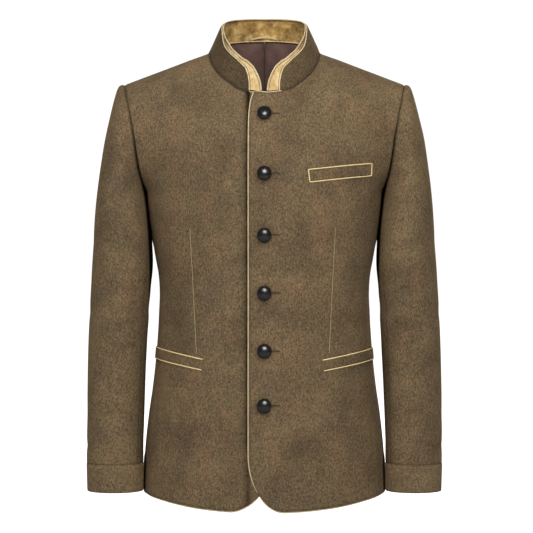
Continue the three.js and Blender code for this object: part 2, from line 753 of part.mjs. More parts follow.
// The loop is sewn to the foot of the facing at the back of the neck
function addLoop() {
  const point = (u, v) => {
    const x = mix(loop.half, -loop.half, u);
    const angle = 180 - (Math.asin(x / neckHalf) * 180) / Math.PI;
    const arch = Math.sin(Math.PI * u) ** 0.7;
    const height = 2 + loop.rise * arch + loop.wide * v;
    return collarPoint(angle, height, cloth + layerGap + suede + layerGap + welt + loop.bow * arch);
  };
  const edgeNormal = () => vec(0, 1, 0);
  add("hanger_loop", wall({ point, edgeNormal, facing: 1, columns: 8, rows: 1 }, welt, welt), colours.suede);
}

function addFrontPiping() {
  add("left_front_piping", pipe(cutEdge(leftFront), edgePiping), colours.piping, 0.7);
  add("right_front_piping", pipe(cutEdge(rightFront), edgePiping, -1), colours.piping, 0.7);
}

function addChestPocket() {
  const place = (u, v) => [
    chestWelt.x + chestWelt.width * u + chestWelt.skew * (1 - v) * (1 - 1.3 * u),
    chestWelt.z + chestWelt.rise * u + chestWelt.tall * (v - 0.5),
  ];
  const rim = { u: 0.019, v: 0.1 };
  const inner = (u, v) => place(mix(rim.u, 1 - rim.u, u), mix(rim.v, 1 - rim.v, v));
  add("chest_welt", wall(bandOn(leftFront, inner, 12), welt, welt + pocketGap), colours.shell);
  const corner = { u: 0.008, v: 0.04 };
  const places = [];
  for (let k = 0; k <= 12; k += 1) places.push([mix(corner.u, 1 - corner.u, k / 12), 1]);
  places.push([1, 1 - corner.v], [1, 0.5], [1, corner.v]);
  for (let k = 12; k >= 0; k -= 1) places.push([mix(corner.u, 1 - corner.u, k / 12), 0]);
  places.push([0, corner.v], [0, 0.5], [0, 1 - corner.v]);
  const lift = pocketGap + pocketPiping;
  const line = places.map(([u, v]) => onPanel(leftFront, ...place(u, v), lift));
  add("chest_piping", pipe(line, pocketPiping, 1, true), colours.piping, 0.7);
}

function addHipPockets() {
  const columns = 12;
  const reach = 0.985; // stops short of the side seam
  for (const [name, panel, side] of [["left", leftFront, 1], ["right", rightFront, -1]]) {
    const place = (u, v) => {
      const share = Math.sin((u * Math.PI) / 2);
      const z = mix(hipWelt.innerZ, hipWelt.outerZ, share) + hipWelt.tall * (v - 1);
      return [mix(hipWelt.innerX[name], torso(90, z).x, share), z];
    };
    const band = bandOn(panel, (u, v) => place(u * (reach - 0.02), mix(0.09, 0.91, v)), columns);
    add(`${name}_hip_welt`, wall(band, welt, welt + pocketGap, side), colours.shell);
    const places = [];
    for (let k = 0; k <= columns; k += 1) places.push([(k / columns) * reach, 1]);
    places.push([reach, 0.5]);
    for (let k = columns; k >= 0; k -= 1) places.push([(k / columns) * reach, 0]);
    const lift = pocketGap + pocketPiping;
    const line = places.map(([u, v]) => onPanel(panel, ...place(u, v), lift));
    add(`${name}_hip_piping`, pipe(line, pocketPiping, side), colours.piping, 0.7);
  }
}

function addButtons() {
  const shape = buttonShape();
  buttonHeights.forEach((z, k) => {
    const { u, v } = placeOn(leftFront, 0, z);
    const normal = normalAt(leftFront, u, v);
    const mesh = add(`button_${k + 1}`, shape, colours.button, 0.25);
    mesh.position.copy(along(facePoint(leftFront, u, v), normal, layerGap));
    mesh.quaternion.setFromUnitVectors(vec(0, 1, 0), normal);
  });
}

addBody();
addLining();
addSleeves();
addCollar();
addLoop();
addFrontPiping();
addChestPocket();
addHipPockets();
addButtons();

export default jacket;
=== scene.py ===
import math

import bmesh
import bpy
import numpy as np
from mathutils import Matrix, Vector


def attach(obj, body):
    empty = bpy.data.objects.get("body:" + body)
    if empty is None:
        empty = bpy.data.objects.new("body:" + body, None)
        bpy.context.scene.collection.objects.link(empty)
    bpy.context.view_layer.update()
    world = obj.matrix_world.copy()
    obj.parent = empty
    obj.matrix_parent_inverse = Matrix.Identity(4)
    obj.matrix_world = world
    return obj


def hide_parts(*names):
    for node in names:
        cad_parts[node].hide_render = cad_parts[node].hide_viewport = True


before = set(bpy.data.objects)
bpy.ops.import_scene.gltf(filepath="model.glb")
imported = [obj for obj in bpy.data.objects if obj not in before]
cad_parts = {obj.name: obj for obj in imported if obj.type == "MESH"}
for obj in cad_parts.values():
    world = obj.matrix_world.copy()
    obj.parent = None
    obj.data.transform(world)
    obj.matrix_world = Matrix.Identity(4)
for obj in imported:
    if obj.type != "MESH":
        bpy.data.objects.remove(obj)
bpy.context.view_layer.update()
print("frame loaded:", len(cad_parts), "nodes")

# All tables and sizes are in millimetres, in the frame of the CAD model. A mesh gets metres.
mm = 0.001
clothThickness = 2.4
suedeThickness = 1.6
sewnGap = 0.3  # between pieces that are sewn together
armpitZ = -232
hemZ = -727
bicepsZ = -315
cuffTopZ = -678
cuffBottomZ = -724
shoulder = (233, 5, -53)
neck = {"half": 92, "front": 88, "back": 62, "y": 3}
armholeDepths = {"front": 60, "back": 62}
hemDips = {"front": 21.5, "back": 4}  # how far the hem hangs lower at the middle than at the side
bodySplit = 0.5  # the share of a body panel's height that lies below the armpit
neckShare = 0.5  # the share of its width that lies along the neck, and the rest along the shoulder

# z, half width, depth in front, depth behind
bodySections = [
    (-760, 201, 139, 132), (-700, 200, 138, 131), (-650, 197, 135, 128), (-600, 192, 131.5, 124),
    (-560, 186.3, 129, 119), (-520, 181.8, 126, 113), (-480, 178.4, 123.5, 107), (-440, 176, 121.5, 102),
    (-400, 174.6, 120.5, 100), (-370, 176.4, 121, 101), (-340, 181.8, 123, 104.5),
    (-300, 187.6, 125.5, 110.5), (-260, 192.4, 127.5, 115), (-232, 195.5, 128, 116),
]
# angle, z of the neck seam
neckHeights = [
    (0, -74), (25, -68), (37, -57), (52, -42), (69, -24), (90, 0), (110, 13), (135, 21.8), (160, 26),
    (180, 27),
]
# z, x of the armhole
armholeWidths = [
    (-232, 195.5), (-220, 199.4), (-205, 203.6), (-180, 208.6), (-150, 213), (-117, 219), (-84, 226),
    (-53, 233),
]
# z, outer x, inner x, middle y, half depth
sleeveRings = [
    (-724, 290.3, 199.3, -49, 43), (-678, 291.8, 199, -46, 44.5), (-630, 292.4, 198.2, -43, 46.5),
    (-580, 292, 197, -40, 49), (-522, 291.2, 195, -37, 52), (-480, 290.2, 193, -35, 54.5),
    (-430, 288.2, 190.2, -32, 57.5), (-390, 286.2, 187.6, -30, 60), (-352, 284.2, 184.8, -28, 63.5),
    (-315, 281.8, 186, -25, 67),
]
# angle, height of the cloth, height of the facing
collarHeights = [
    (6.7, 20, 25.8), (12.9, 22, 41.2), (19.5, 29.5, 48.5), (23, 38, 51), (31.5, 42.8, 52), (46, 42.8, 51.2),
    (62, 42, 51), (72, 43.5, 49), (83, 44.7, 46.6), (95, 43.7, 45.4), (115, 40, 41.6), (145, 36.4, 38),
    (180, 35, 36.6),
]
# share of the height, angle where the cloth ends, angle where the facing ends
collarFronts = [(0, 16.5, 3.7), (0.5, 17.3, 5.8), (1, 19.8, 11.5)]
# angle, foot of the cloth, foot of the facing
collarFeet = [(0, 0.3, 2.9), (35, 0.3, 2.6), (70, 0.3, 0.8), (180, 0.3, 0.6)]
# angle, top, depth, spread of the soft folds that fall from the waist
skirtFolds = [
    (64, -520, 1.6, 9), (81, -470, 1.4, 7), (112, -440, 2.6, 9), (138, -480, 2.2, 10), (164, -430, 2.4, 9),
]
# Where the cloth stands out fuller: behind the armpit, and at the side of the skirt beside the cuff
blade = {"angle": 105, "wide": 10, "z": -272, "tall": 52, "depth": 12, "from": -231, "to": -251}
flank = {"angle": 97, "wide": 5, "depth": 4.6, "from": -650, "to": -678}
# z, angle, height, width in degrees, depth of the breaks at the elbow and above the cuff
sleeveBreaks = [
    (-385, -20, 16, 60, 2.2), (-425, -45, 14, 55, 2.6), (-468, -25, 18, 50, 1.8), (-408, 195, 20, 60, 1.8),
    (-600, 20, 22, 60, 1.5), (-640, 190, 18, 70, 1.6),
]


# Small tools
def smooth(x, low, high):
    t = np.clip((x - low) / (high - low), 0, 1)
    return t * t * (3 - 2 * t)


def mix(a, b, t):
    return a + (b - a) * t


# A soft hump of height 1 at 0 that fades to each side over the width
def bell(x, width):
    return np.exp(-(x / width) ** 2)


def sinCos(angle):
    return np.sin(np.radians(angle)), np.cos(np.radians(angle))


# An angle from the front middle round to the back, 0 to 180, the same on both sides
def folded(angle):
    return np.where(angle > 180, 360 - angle, np.abs(angle))


def at(x, y, z):
    return np.stack(np.broadcast_arrays(x, y, z), axis=-1).astype(float)


def unit(v):
    return v / np.maximum(np.linalg.norm(v, axis=-1, keepdims=True), 1e-9)


def hermite(p, slopeP, q, slopeQ, t):
    s = 1 - t
    return (1 + 2 * t) * s * s * p + t * s * s * slopeP + t * t * (3 - 2 * t) * q - t * t * s * slopeQ


def readTable(table, column, place):
    rows = np.array(sorted(table), float)
    keys, values = rows[:, 0], rows[:, column]
    before = np.maximum(np.arange(len(rows)) - 1, 0)
    after = np.minimum(np.arange(len(rows)) + 1, len(rows) - 1)
    slopes = (values[after] - values[before]) / (keys[after] - keys[before])
    i = np.searchsorted(keys[1:-1], place)
    width = keys[i + 1] - keys[i]
    t = np.clip((place - keys[i]) / width, 0, 1)
    return hermite(values[i], slopes[i] * width, values[i + 1], slopes[i + 1] * width, t)


# The form of the garment, the same as the solids have
def torso(angle, z):
    s, c = sinCos(angle)
    half = readTable(bodySections, 1, z)
    depth = np.where(c > 0, readTable(bodySections, 2, z), readTable(bodySections, 3, z))
    around = np.abs(angle)
    out = blade["depth"] * bell(around - blade["angle"], blade["wide"]) * bell(z - blade["z"], blade["tall"])
    out = out * smooth(-z, -blade["from"], -blade["to"])
    side = flank["depth"] * bell(around - flank["angle"], flank["wide"])
    out = out + side * smooth(-z, -flank["from"], -flank["to"])
    for foldAngle, top, foldDepth, wide in skirtFolds:
        out = out + foldDepth * smooth(-z, -top, -hemZ) * bell(around - foldAngle, wide)
    power = 2 / 2.25
    x = np.sign(s) * half * np.abs(s) ** power + s * out
    y = -np.sign(c) * depth * np.abs(c) ** power - c * out
    return at(x, y, z)


def angleOf(x, z):
    half = readTable(bodySections, 1, z)
    share = np.minimum(np.abs(x) / half, 1) ** 1.125
    return np.sign(x) * np.degrees(np.arcsin(share))


def neckRing(angle):
    around = folded(angle)
    depth = np.where(around < 90, neck["front"], neck["back"])
    s, c = sinCos(angle)
    return at(neck["half"] * s, neck["y"] - depth * c, readTable(neckHeights, 1, around))


def armhole(angle):
    s, c = sinCos(angle)
    z = mix(armpitZ, shoulder[2], (s + 1) / 2)
    y = shoulder[1] * (s + 1) / 2 - c * np.where(c > 0, armholeDepths["front"], armholeDepths["back"])
    return at(readTable(armholeWidths, 1, z), y, z)


def topLine(u, startAngle):
    onNeck = neckRing(mix(startAngle, 90, u / neckShare))
    side = neckRing(np.full_like(u, 90.0))
    onShoulder = mix(side, np.array(shoulder, float), ((u - neckShare) / (1 - neckShare))[..., None])
    return np.where((u <= neckShare)[..., None], onNeck, onShoulder)


# A panel of the body by its share of height: its z below the armpit, and its share above it
def lowerZ(v, foot):
    return mix(foot, armpitZ, (np.minimum(v, bodySplit) / bodySplit) ** 1.35)


def upperShare(v):
    return np.clip((v - bodySplit) / (1 - bodySplit), 0, 1)


# Each column climbs from the armpit to the neck or shoulder, and is drawn to the armhole outside. Near the
# middle it runs up into the neck seam. From turnFrom to turnTo of the width it turns over the shoulder.
bend = {"evened": 0.11, "kept": 0.4, "turnFrom": 0.16, "turnTo": 0.5, "climb": 1.5, "leanIn": 0.45,
        "leanUp": 0.85, "reach": 1.6, "leastReach": 10}


def upperBody(u, t, face, chestAngle, startAngle):
    def column(share):
        foot = torso(mix(chestAngle, 90, share), np.full_like(share, armpitZ))
        below = torso(mix(chestAngle, 90, share), np.full_like(share, armpitZ - 1))
        top = topLine(share, startAngle)
        before, after = share - bend["evened"], np.minimum(share + bend["evened"], 1)
        head = mix((topLine(before, startAngle) + topLine(after, startAngle)) / 2, top, bend["kept"])
        over = smooth(share, bend["turnFrom"], bend["turnTo"])
        climb = (foot - below) * ((head[..., 2] - foot[..., 2]) * mix(1, bend["climb"], over))[..., None]
        lean = unit(at(0 * over, -face * mix(bend["leanIn"], 1, over), mix(bend["leanUp"], 0, over)))
        depth = np.abs(head[..., 1] - foot[..., 1])
        span = np.linalg.norm(foot - head, axis=-1)
        reach = mix(span, bend["reach"] * depth + bend["leastReach"], over)
        p = hermite(foot, climb, head, lean * reach[..., None], t[..., None])
        return p + (top - head) * (t ** 5)[..., None]

    ringAngle = mix(-90, 90, t) if face < 0 else mix(270, 90, t)
    pull = armhole(ringAngle) - column(np.ones_like(u))
    return column(u) + pull * (u ** 3)[..., None]


def frontPlace(cut):
    chestAngle = angleOf(cut["edge"], armpitZ)

    def place(u, v):
        hemAngle = mix(angleOf(cut["edge"], hemZ), 90, u)
        foot = hemZ - hemDips["front"] * np.cos(np.radians(hemAngle)) ** 2
        z = lowerZ(v, foot)
        angle = mix(angleOf(cut["edge"], z), 90, u)
        wide = (cut["edge"] + cut["cornerWide"] - torso(angle, z)[..., 0]) / cut["cornerWide"]
        tall = (foot + cut["cornerTall"] - z) / cut["cornerTall"]
        corner = (wide > 0) & (tall > 0)
        w, h = np.clip(wide, 0, 1), np.clip(tall, 0, 1)
        roundX = cut["edge"] + cut["cornerWide"] * (1 - w * np.sqrt(1 - h * h / 2))
        roundZ = foot + cut["cornerTall"] * (1 - h * np.sqrt(1 - w * w / 2))
        z = np.where(corner, roundZ, z)
        angle = np.where(corner, angleOf(roundX, z), angle)
        lower = torso(angle, z)
        up = upperShare(v)
        upper = upperBody(u, up, -1, chestAngle, -15)
        first = upperBody(np.zeros_like(u), up, -1, chestAngle, -15)
        upper[..., 0] += (mix(cut["edge"], -15.8, up ** 8) - first[..., 0]) * (1 - u) ** 4
        p = np.where((v <= bodySplit)[..., None], lower, upper)
        under = smooth(-p[..., 0], -52, -31)
        p[..., 1] += cut["setback"] * under
        p[..., 2] -= cut["drop"] * under * up ** 3
        return p

    return place


def backPlace(u, v):
    angle = mix(180, 90, u)
    foot = hemZ - hemDips["back"] * np.cos(np.radians(angle)) ** 2
    lower = torso(angle, lowerZ(v, foot))
    upper = upperBody(u, upperShare(v), 1, 180, 180)
    p = np.where((v <= bodySplit)[..., None], lower, upper)
    p[..., 0] += 0.15 * (1 - u) ** 8
    return p


# The sleeve: the angle runs round it, t down it from the armhole over the biceps, 1, to the hand, 2.
def sleevePlace(angle, t, proud=0):
    s, c = sinCos(angle)

    def ring(z):
        outer, inner = readTable(sleeveRings, 1, z), readTable(sleeveRings, 2, z)
        out = proud
        for foldZ, foldAngle, tall, wide, depth in sleeveBreaks:
            turn = (angle - foldAngle + 540) % 360 - 180
            out = out - depth * bell(z - foldZ, tall) * bell(turn, wide)
        x = (outer + inner) / 2 + ((outer - inner) / 2 + out) * s
        return at(x, readTable(sleeveRings, 3, z) - (readTable(sleeveRings, 4, z) + out) * c, z)

    arm = ring(mix(bicepsZ, cuffBottomZ, np.clip(t - 1, 0, 1)))
    head = armhole(angle) + np.array([sewnGap, 0, 0])
    out = at(62 + 27 * s - 27 * s * s, -14 * c, -60 + 22.5 * s + 42.5 * s * s)
    down = at(0 * s, 0 * s, -(150 + 100 * s + 20 * s * s))
    cap = np.clip(t, 0, 1)
    crown = 4 * np.maximum(s, 0) ** 2 * (cap / 0.08) * np.exp(1 - cap / 0.08)
    top = hermite(head, out, ring(np.full_like(t, bicepsZ)), down, cap[..., None])
    top[..., 0] += crown
    return np.where((t > 1)[..., None], arm, top)


def collarPlace(angle, height, inward):
    s, c = sinCos(angle)
    lean = 0.2 + 0.28 * s * s
    up = unit(at(-s * lean, c * lean, 1))
    out = unit(at(s, -c, lean))
    inward = np.broadcast_to(inward, np.shape(angle))
    return neckRing(angle) + up * height[..., None] - out * inward[..., None]


# Creases. Each is x, z of its two ends, half width, depth and bow; a ridge has a minus depth.
frontCreases = [
    (200, -176, 150, -232, 11, 1.5, 6), (196, -205, 160, -262, 9, -1, 5), (205, -128, 168, -150, 10, 0.9, -4),
    (178, -402, 122, -392, 8, 1.1, 4), (178, -424, 118, -428, 9, -1, -5), (180, -446, 132, -462, 9, 1.2, 5),
    (150, -86, 110, -128, 15, 1.0, 8), (84, -112, 58, -176, 12, 0.8, -6), (60, -250, 84, -330, 15, 0.7, 8),
    (128, -545, 136, -716, 13, 1.2, -5), (96, -560, 99, -722, 14, -0.9, 6), (60, -596, 66, -738, 16, 1.0, 5),
    (40, -352, 92, -340, 10, 0.7, 5), (38, -446, 88, -462, 10, 0.7, -5), (36, -250, 70, -262, 9, 0.5, 3),
    (160, -560, 168, -700, 10, 1.0, 3),
]
backCreases = [
    (18, -388, 128, -374, 11, 1.7, -9), (14, -412, 150, -416, 12, -1.3, 8),
    (22, -440, 140, -456, 12, 1.6, 10),
    (190, -150, 128, -214, 14, 1.8, 9), (196, -196, 148, -262, 11, -1.3, 7), (60, -72, 72, -150, 16, 1.0, 8),
    (120, -94, 96, -160, 14, 0.9, -7), (96, -500, 112, -716, 18, 1.9, 8), (52, -520, 50, -720, 18, -1.2, -6),
    (148, -520, 160, -716, 13, 1.5, 5), (20, -250, 60, -300, 13, 0.8, 6), (24, -560, 27, -724, 9, 1.2, 3),
]
# On a sleeve x is the distance round it from the front middle, 1 mm per degree.
sleeveCreases = [
    (-52, -366, 22, -352, 7, 1.5, 5), (-56, -402, 30, -398, 7, 1.8, -6), (-54, -438, 24, -452, 8, 1.7, 6),
    (-50, -486, 14, -506, 8, 1.2, -5), (-40, -330, 30, -306, 9, 1.2, 7), (40, -130, 52, -230, 14, 1.2, 9),
    (86, -120, 100, -260, 16, -1.0, -8), (130, -150, 150, -262, 14, 1.4, 8), (16, -540, 70, -560, 10, 1.0, 6),
    (-30, -592, 40, -610, 9, 1.2, -6), (60, -420, 130, -440, 12, 1.1, 7), (150, -372, 218, -392, 9, 1.5, 6),
    (146, -430, 220, -424, 9, 1.4, -6), (150, -470, 210, -492, 10, 1.2, 6),
    (130, -600, 205, -622, 10, 1.1, -6),
    (40, -652, 120, -642, 8, 0.9, 4), (-20, -210, 18, -262, 11, 1.2, 7), (0, -150, 22, -190, 9, 1.0, 4),
]
liningCreases = [
    (30, -60, 42, -210, 9, 2.2, 6), (66, -40, 84, -220, 11, -2.0, 8), (112, -50, 120, -215, 10, 2.0, -7),
    (6, -24, 44, -8, 6, 1.2, 4), (50, -34, 84, -20, 7, 1.4, -4), (160, -80, 165, -220, 12, 1.8, 5),
]


def creaseDepth(creases, x, z, phase):
    total = 0 * x
    for k, (x1, z1, x2, z2, half, depth, bow) in enumerate(creases):
        length = math.hypot(x2 - x1, z2 - z1)
        dx, dz = (x2 - x1) / length, (z2 - z1) / length
        t = ((x - x1) * dx + (z - z1) * dz) / length
        off = (x - x1) * dz - (z - z1) * dx - bow * (1 - (2 * np.clip(t, 0, 1) - 1) ** 2)
        ends = smooth(t, -0.12, 0.25) * smooth(-t, -1.12, -0.6)
        uneven = 1 + 0.3 * np.sin(t * 7 + k * 2.1 + phase)
        total = total + depth * ends * uneven * bell(off, half * mix(0.8, 1.2, np.clip(t, 0, 1)))
    return total


# Cloth hangs in slight waves even where it is smooth.
def clothWaves(x, z, phase):
    waves = 0.30 * np.sin(x / 29 + z / 71 + phase) + 0.26 * np.sin(z / 37 - x / 63 + 1.3 * phase)
    return waves + 0.16 * np.sin(x / 13 - z / 41 + 2.2 * phase)


# Shares from 0 to 1 that stand closer at both ends, where the cloth rolls under at a seam
def spread(count):
    t = np.linspace(0, 1, count + 1)
    return t - 0.6 * np.sin(2 * math.pi * t) / (2 * math.pi)


# Painted shade: the cloth is painted darker in its creases and beside its seams.
creaseShade = 0.075  # how much darker the cloth is for each millimetre of a crease's depth
seamShade = {"dark": 0.24, "wider": 2.0}  # beside a seam, and how far past its rolled edge
# Clouds of the washed cloth as the front shows them: x, z of the middle, half width, half height, how much
# darker, how much warmer. Hidden sides have only the cloth's own uneven colour.
clothClouds = [
    (-68, -174, 27, 32, 0.20, 0), (-131, -424, 24, 62, 0.16, 0), (-134, -639, 40, 38, 0.15, 0.05),
    (48, -668, 38, 30, 0.15, 0), (138, -437, 28, 40, 0.13, 0), (72, -539, 34, 24, 0.12, 0),
    (59, -152, 40, 22, 0.12, 0), (-242, -292, 22, 48, 0.12, 0), (-266, -186, 20, 38, 0.13, 0),
    (238, -424, 26, 42, 0.13, 0), (224, -192, 24, 42, 0.12, 0), (171, -585, 24, 60, 0.12, 0),
    (22, -267, 24, 22, 0.09, 0), (-260, -470, 24, 50, 0.10, 0), (-40, -470, 22, 60, 0.07, 0),
    (-146, -152, 28, 48, -0.08, 0.35), (-196, -104, 26, 26, -0.03, 0.4), (39, -399, 34, 24, -0.09, 0.4),
    (97, -262, 22, 30, -0.05, 0.4), (31, -483, 26, 24, -0.04, 0.3), (48, -598, 38, 28, -0.08, 0.35),
    (-77, -102, 48, 18, -0.10, 0.1), (180, -104, 38, 28, -0.08, 0.3), (-85, -682, 34, 30, -0.06, 0.15),
    (-150, -340, 20, 40, 0.04, 0.45), (118, -330, 26, 26, -0.02, 0.3), (140, -690, 26, 34, 0.03, 0.35),
]


def cloudsAt(points, normals):
    shade, warm = 1 + 0 * points[..., 0], 0 * points[..., 0]
    ahead = smooth(-normals[..., 1], -0.1, 0.45)
    for x, z, wide, tall, darker, warmer in clothClouds:
        near = bell(points[..., 0] - x, wide) * bell(points[..., 2] - z, tall) * ahead
        shade, warm = shade * (1 - darker * near), warm + warmer * near
    return shade, warm


# A panel as a net of points in millimetres. Its edges roll under where it is sewn. Its shade is 1 where
# nothing is painted, lower with painted shade in creases, beside seams and in shadows, and in darker clouds.
def makePanel(place, columns, rows, facing, side=1, shape=None, roll=(), ring=False, paintedShade=None):
    u, v = np.meshgrid(spread(columns), spread(rows))
    points = place(u, v)
    points[..., 0] *= side

    def measure(axis):
        steps = np.linalg.norm(np.diff(points, axis=axis), axis=-1)
        pad = [(0, 0), (0, 0)]
        pad[axis] = (1, 0)
        return np.cumsum(np.pad(steps, pad), axis=axis)

    def normalsOf(net):
        du, dv = np.gradient(net, axis=1), np.gradient(net, axis=0)
        if ring:
            du[:, 0] = du[:, -1] = net[:, 1] - net[:, -2]
        return unit(np.cross(du, dv)) * facing * side

    across, along = measure(1), measure(0)
    normals = normalsOf(points)
    depth = shape(u, v, points) if shape else 0 * u
    distances = {"start": across, "end": across[:, -1:] - across, "low": along, "high": along[-1:] - along}
    shade, warm = cloudsAt(points, normals)
    shade = shade * (1 - creaseShade * np.clip(depth, 0, 2.5))
    for edge, amount, width in roll:
        depth = depth + amount * bell(distances[edge], width)
        beside = bell(distances[edge], width + seamShade["wider"])
        shade = shade * (1 - seamShade["dark"] * min(amount, 1) * beside)
    points = points - normals * depth[..., None]
    # The panel's own shade function paints shadows on it.
    if paintedShade:
        shade = shade * paintedShade(points, distances)
    cells = np.cross(np.diff(points, axis=1)[:-1], np.diff(points, axis=0)[:, :-1])
    return {"points": points, "normals": normalsOf(points), "across": across, "along": along, "ring": ring,
            "area": np.linalg.norm(cells, axis=-1).sum() * mm * mm, "shade": shade, "warm": warm}


# The point of a panel straight behind x, z of the front view, raised by lift
def onPanel(panel, x, z, lift=0.0):
    points, normals = panel["points"].reshape(-1, 3), panel["normals"].reshape(-1, 3)
    k = np.argmin((points[:, 0] - x) ** 2 + (points[:, 2] - z) ** 2)
    p, n = points[k], normals[k]
    y = p[1] - (n[0] * (x - p[0]) + n[2] * (z - p[2])) / n[1]
    return np.array([x, y, z]) + n * lift, n


# The point of a panel that is nearest to any point, raised by lift
def nearPanel(panel, place, lift=0.0):
    points, normals = panel["points"].reshape(-1, 3), panel["normals"].reshape(-1, 3)
    k = np.argmin(((points - place) ** 2).sum(axis=1))
    n = normals[k]
    return place - n * np.dot(place - points[k], n) + n * lift, n


# Even steps along a line: its places there, or what it carries, such as its normals
def walk(line, step, carried=None):
    line = np.asarray(line, float)
    lengths = np.concatenate([[0], np.cumsum(np.linalg.norm(np.diff(line, axis=0), axis=1))])
    count = max(int(round(lengths[-1] / step)), 2)
    stops = np.linspace(0, lengths[-1], count + 1)
    values = line if carried is None else carried
    return np.stack([np.interp(stops, lengths, values[:, k]) for k in range(3)], axis=1)


# A line along an edge of a panel: out is how far beyond the edge, below zero for inside it
def edgeLine(panel, edge, step, out, deep, turn):
    line = edge(panel["points"])
    points, normals = walk(line, step), unit(walk(line, step, edge(panel["normals"])))
    tangents = unit(np.gradient(points, axis=0))
    return points + unit(np.cross(tangents, normals)) * turn * out - normals * deep


# Materials. The size of a pattern is in millimetres. A noise has its scale per metre, 1000 / size.
def linear(hexColour):
    values = [int(hexColour[k:k + 2], 16) / 255 for k in (1, 3, 5)]
    return tuple(c / 12.92 if c <= 0.04045 else ((c + 0.055) / 1.055) ** 2.4 for c in values) + (1,)


def addNode(tree, kind, inputs=None, **settings):
    node = tree.nodes.new(kind)
    for name, value in settings.items():
        setattr(node, name, value)
    for name, value in (inputs or {}).items():
        if isinstance(value, bpy.types.NodeSocket):
            tree.links.new(value, node.inputs[name])
        else:
            node.inputs[name].default_value = value
    return node


def newMaterial(name):
    material = bpy.data.materials.new(name)
    material.use_nodes = True
    material.node_tree.nodes.clear()
    return material, material.node_tree


# Gives a material its surface, and the relief that height draws on it, up to depth millimetres
def finish(tree, shader, height=None, strength=0.0, depth=0.0):
    if height is not None:
        relief = {"Height": height, "Strength": strength, "Distance": depth * mm}
        shader["Normal"] = addNode(tree, "ShaderNodeBump", relief).outputs[0]
    surface = addNode(tree, "ShaderNodeBsdfPrincipled", shader)
    addNode(tree, "ShaderNodeOutputMaterial", {"Surface": surface.outputs[0]})


# A mottled pattern of a real size. Its values from low to high are stretched to run from first to last.
def mottled(tree, where, size, detail, roughness, low=0, high=1, first=0, last=1):
    noise = addNode(tree, "ShaderNodeTexNoise", {
        "Vector": where, "Scale": 1000 / size, "Detail": detail, "Roughness": roughness,
    }).outputs["Fac"]
    reach = {"Value": noise, "From Min": low, "From Max": high, "To Min": first, "To Max": last}
    return addNode(tree, "ShaderNodeMapRange", reach).outputs["Result"]


# Clouds of colour: a mottled pattern, coloured by the places and hex values of its stops
def cloudy(tree, where, size, detail, roughness, stops):
    ramp = addNode(tree, "ShaderNodeValToRGB", {"Fac": mottled(tree, where, size, detail, roughness)})
    while len(ramp.color_ramp.elements) < len(stops):
        ramp.color_ramp.elements.new(0.5)
    for element, (place, colour) in zip(ramp.color_ramp.elements, stops):
        element.position = place
        element.color = linear(colour)
    return ramp.outputs["Color"]


# Lays colours or greys on a base, one after another: the share of each, its colour, and how it is mixed
def layered(tree, base, layers):
    for share, colour, way in layers:
        base = addNode(tree, "ShaderNodeMix", {0: share, 6: base, 7: colour}, data_type="RGBA",
                       blend_type=way).outputs[2]
    return base


# The painted shade, which also holds the darker clouds of the cloth, and the extra warmth that a panel
# carries
def paintedShadeAndCloudsOf(tree):
    wear = addNode(tree, "ShaderNodeUVMap", uv_map="wear").outputs["UV"]
    split = addNode(tree, "ShaderNodeSeparateXYZ", {"Vector": wear})
    return split.outputs["X"], split.outputs["Y"]


# Loden: wool that is woven, milled until it felts, and washed out. It gives a matt face with short
# fibres of mixed browns, large clouds of warmer and greyer brown, and a faint bloom at its edges.
# Single fibres are too fine to show, so specks and flecks are drawn coarser, 2 to 2.5 mm.
def makeCloth(name, sizes, tone=1.0):
    material, tree = newMaterial(name)
    place = addNode(tree, "ShaderNodeTexCoord").outputs["Object"]
    moved = addNode(tree, "ShaderNodeMapping", {"Vector": place, "Location": sizes["shift"]}).outputs[0]
    along = addNode(tree, "ShaderNodeMapping", {"Vector": moved, "Scale": (1, 1, 0.62)}).outputs[0]
    threads = addNode(tree, "ShaderNodeUVMap", uv_map="cut").outputs["UV"]
    patch, fibre, speck = sizes["patch"], sizes["fibre"], (along, sizes["speckle"], 3, 0.75)
    shade, warm = paintedShadeAndCloudsOf(tree)
    warmth = mottled(tree, along, patch, 4, 0.65, 0.47, 0.68, 0, sizes["warmth"])
    warmth = addNode(tree, "ShaderNodeMath", {0: warmth, 1: warm}, operation="ADD", use_clamp=True).outputs[0]
    # Painted shade: the panel's painted shade, with the cloth's darker clouds, scaled by tone, darkens the
    # colour.
    paintedShadeAndTone = addNode(tree, "ShaderNodeMapRange", {"Value": shade, "To Max": tone}).outputs[0]
    dusk = mottled(tree, moved, patch * 1.35, 2, 0.5, 0.28, 0.47, sizes["dusk"], 0)
    base = layered(tree, cloudy(tree, moved, sizes["cloud"], 3, 0.55, sizes["colours"]), [
        (warmth, linear(sizes["warm"]), "MIX"),
        (dusk, linear(sizes["cool"]), "MIX"),
        (1.0, mottled(tree, *speck, 0.32, 0.68, *sizes["contrast"]), "MULTIPLY"),
        (mottled(tree, along, fibre, 2, 0.7, 0.58, 0.72, 0, 0.6), linear(sizes["fleck"]), "MIX"),
        (mottled(tree, moved, fibre * 1.15, 1, 0.5, 0.42, 0.28, 0, 0.65), linear(sizes["dark"]), "MIX"),
        (1.0, paintedShadeAndTone, "MULTIPLY"),
    ])
    shader = {"Base Color": base, "Roughness": 0.93, "Sheen Roughness": 0.45, "Sheen Tint": linear("#c9a67c")}
    # Painted shade also takes away the sheen and gloss.
    for gloss, most in (("Sheen Weight", sizes["sheen"]), ("Specular IOR Level", 0.18)):
        reach = {"Value": shade, "From Max": 0.8, "To Max": most}
        shader[gloss] = addNode(tree, "ShaderNodeMapRange", reach).outputs[0]
    nap, speckle = mottled(tree, threads, fibre * 0.9, 3, 0.7), mottled(tree, *speck)
    height = addNode(tree, "ShaderNodeMath", {0: nap, 1: speckle}, operation="ADD").outputs[0]
    finish(tree, shader, height, 0.55, sizes["nap"])
    return material
